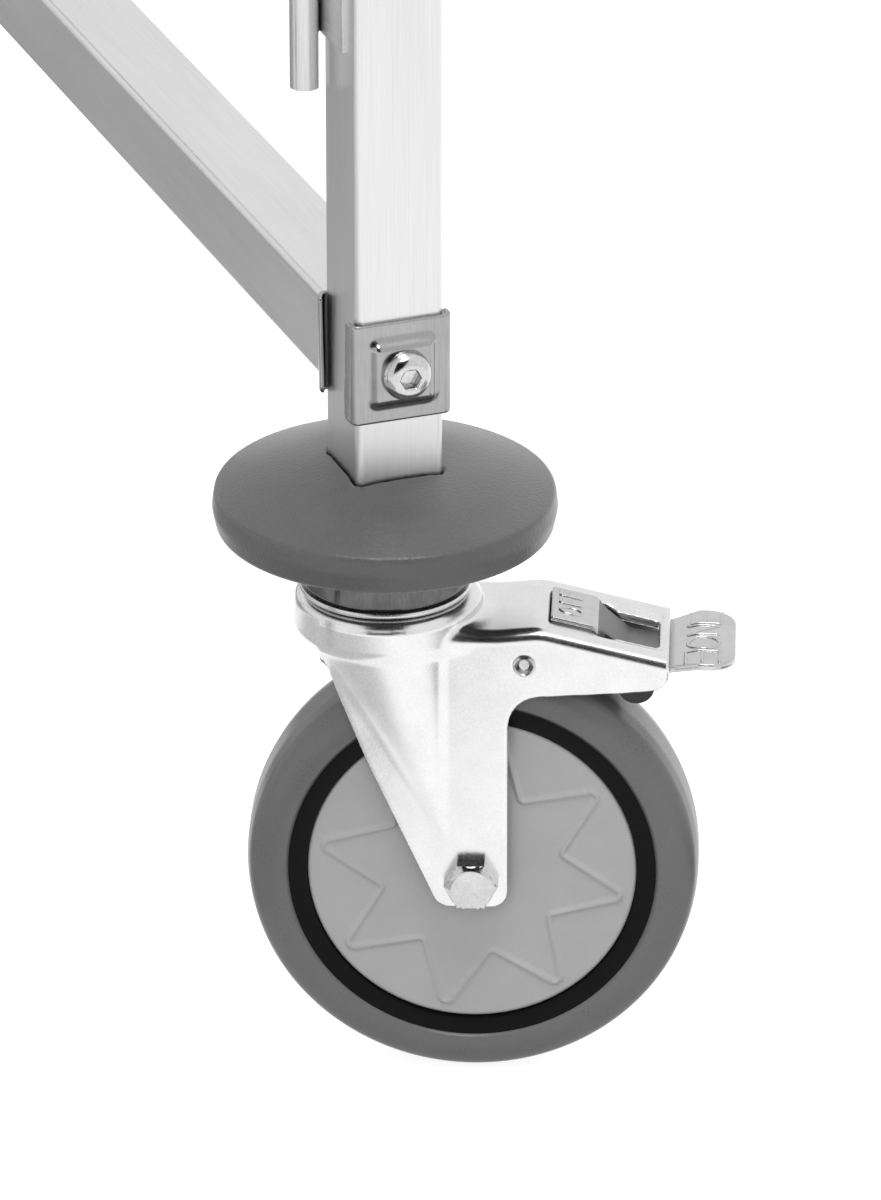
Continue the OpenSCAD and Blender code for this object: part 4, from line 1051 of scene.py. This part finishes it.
# %% Bumper sizes
FOOT_Z = 160.0
BUMPER_R = 47.15
BUMPER_LIFT = 0.5
BUMPER_TILT = 1.0
TILT_AXIS = Vector((0.985, -0.17, 0))
CREASE_Z = 13.0
CREASE_R = 46.2
DOME = 8.2
DOME_BALL = (CREASE_R ** 2 + DOME ** 2) / (2 * DOME)
SKIN = 3.6
RIBS = 8
HUB_R = 21
HOLE_HALF = 12.95
rim_line = rounded([(-FAR, 2.0), (46.0, 2.0, 1.4), (BUMPER_R, 7.6, 6), (46.35, 13.1, 0.9), (-FAR, 60)])
rim_inside = rounded([(-FAR, -9), (41.6, -9), (42.9, 7.6, 5), (41.6, 11.0, 2), (-FAR, 60)])
print("dome radius", round(DOME_BALL), "mm")


# %% Bumper disc mesh
def bumper_field(x, y, z):
    """Dome and rim, hollowed, with ribs, a hub and the post's hole."""
    r = np.hypot(x, y)
    dome = np.sqrt(r * r + (z - CREASE_Z - DOME + DOME_BALL) ** 2) - DOME_BALL
    skin = round_join(dome, outline_distance(r, z, rim_line), 1.5)
    hollow = np.maximum(dome + SKIN, outline_distance(r, z, rim_inside))
    turn = np.arctan2(y, x)
    near_rib = (turn + math.pi / RIBS) % (2 * math.pi / RIBS) - math.pi / RIBS
    rib = np.maximum(np.abs(r * np.sin(near_rib)) - 1.0, 3.2 - z)
    hub = np.maximum(r - HUB_R, 0.02 - z)
    solid = np.maximum(skin, -hollow)
    solid = soft_union(solid, np.maximum(np.minimum(rib, hub), np.maximum(dome + 1.5, r - 44)), 0.8)
    hole = round_join(np.abs(x) - HOLE_HALF, np.abs(y) - HOLE_HALF, 2.4)
    return round_join(solid, -hole, 0.35)


part = mesh_of_field(bumper_field, (-49, -49, -1.4), (49, 49, 23), 0.8)
bumper_mesh = make_mesh("domed_bumper", part)
print("bumper", len(part[1]), "quads")
tilt = Matrix.Rotation(math.radians(BUMPER_TILT), 4, TILT_AXIS)
for corner, (x, y, _) in CORNERS.items():
    seat = stand(x * POST_X, y * POST_Y, FOOT_Z + BUMPER_LIFT, 0) @ tilt
    place("domed_bumper_" + corner, bumper_mesh, seat, "frame", "bumper_discs", "bumper_rubber")

# %% [markdown]
# ## Saddle clips and bolts
# Each rail end is drawn against its post by one long button-head bolt, whose head sits on a
# saddle clip of 1.4 mm sheet with a raised square boss. A second saddle holds the rail's end.
# Bent sheet springs back, so the wings of both stand open by a fraction of a millimetre.

# %% Clip field
CLIP_X = 13.9
CLIP_HALF = 14.5
BOSS_X = 16.3
SHEET = 1.4
BOSS_WING = 8.6
SADDLE_WING = 9.0
BOLT_HOLE = 4.2


def clip_skin(x, y, z, boss):
    """The outside of a clip with its boss, or of a plain saddle."""
    if boss:
        across = np.abs(y) - 0.12 * np.clip(12.5 - x, 0, 9) * ramp(-z, -6, 14)
    else:
        across = np.abs(y) - (0.24 + 0.14 * ramp(z, -14, 14)) * np.clip(12.6 - x, 0, 5)
    plate = round_join(across - CLIP_HALF, x - CLIP_X, 2.5)
    if not boss:
        return plate
    corner = np.hypot(np.maximum(np.abs(y) - 7.0, 0), np.maximum(np.abs(z) - 7.1, 0))
    edge = np.maximum(corner - 2.6, np.maximum(np.abs(y) - 9.6, np.abs(z) - 9.7))
    raised = round_join(x - BOSS_X, (edge + (x - CLIP_X) * 0.8) / 1.28, 0.9)
    return soft_union(plate, raised, 1.3)


def clip_field(boss, wing_x):
    """The sheet of a clip or saddle, trimmed and with the bolt's hole."""
    outline = rounded([(wing_x, -CLIP_HALF, 2.2), (wing_x, CLIP_HALF, 1.2), (60, CLIP_HALF),
                       (60, -CLIP_HALF)])
    face = rounded([(-15.4, -CLIP_HALF, 2.6), (15.4, -CLIP_HALF, 2.6), (15.4, CLIP_HALF, 0.8),
                    (-15.4, CLIP_HALF, 0.8)])

    def field(x, y, z):
        skin = clip_skin(x, y, z, boss)
        shell = round_join(skin, -skin - SHEET, 0.3)
        shell = round_join(shell, outline_distance(x, z, outline), 0.35)
        shell = round_join(shell, outline_distance(y, z, face), 0.35)
        return np.maximum(shell, BOLT_HOLE - np.hypot(y, z))
    return field


CLIP_STEP = 0.46
clip_mesh = {}
for boss, wing_x in ((True, BOSS_WING), (False, SADDLE_WING)):
    part = mesh_of_field(clip_field(boss, wing_x), (wing_x - 1.5, -17, -16), (18, 17, 16), CLIP_STEP)
    clip_mesh[boss] = make_mesh("saddle_clip" if boss else "rail_end_saddle", part)
    print("clip" if boss else "saddle", len(part[1]), "quads")

# %% Button-head bolt
HEAD_R = 7.0
HEAD_RIM = 0.35
HEAD_TALL = 4.05
TOP_R = 3.7
socket = hexagon(5.0)
bolt_rings = [(0, -50), (3.6, -50), (4, -49.4), (4, -0.2), (6.9, -0.1), (HEAD_R, HEAD_RIM)]
for share in np.linspace(0, 1, 12)[1:]:
    bolt_rings.append((HEAD_R - TOP_R * share ** 1.9, HEAD_RIM + HEAD_TALL * math.sin(share * math.pi / 2)))
bolt_rings += [(3.15, 4.42), (lambda a: np.minimum(socket(a) + 0.25, 3.05), 4.30), (socket, 3.95),
               (socket, 1.85), (0, 1.6)]
bolt_part = turned(ring_stack(bolt_rings, 96), ("Y", 90), (BOSS_X, 0, 0))
bolt_mesh = make_mesh("button_head_bolt", bolt_part, 38)
print("bolt", len(bolt_part[1]), "quads")

# %% Clips and bolts at each joint
for number, (x, y, z, turn) in enumerate(joint_places, 1):
    outside = stand(x, y, z, turn)
    inside = stand(x, y, z, turn + 180)
    place(f"saddle_clip_{number}", clip_mesh[True], outside, "frame", "corner_clips", "pressed_clip")
    place(f"rail_saddle_{number}", clip_mesh[False], inside, "frame", "rail_end_saddles", "pressed_clip")
    place(f"button_bolt_{number}", bolt_mesh, outside, "frame", "frame_bolts", "bolt_steel")
print(3 * len(joint_places), "clips, saddles and bolts")
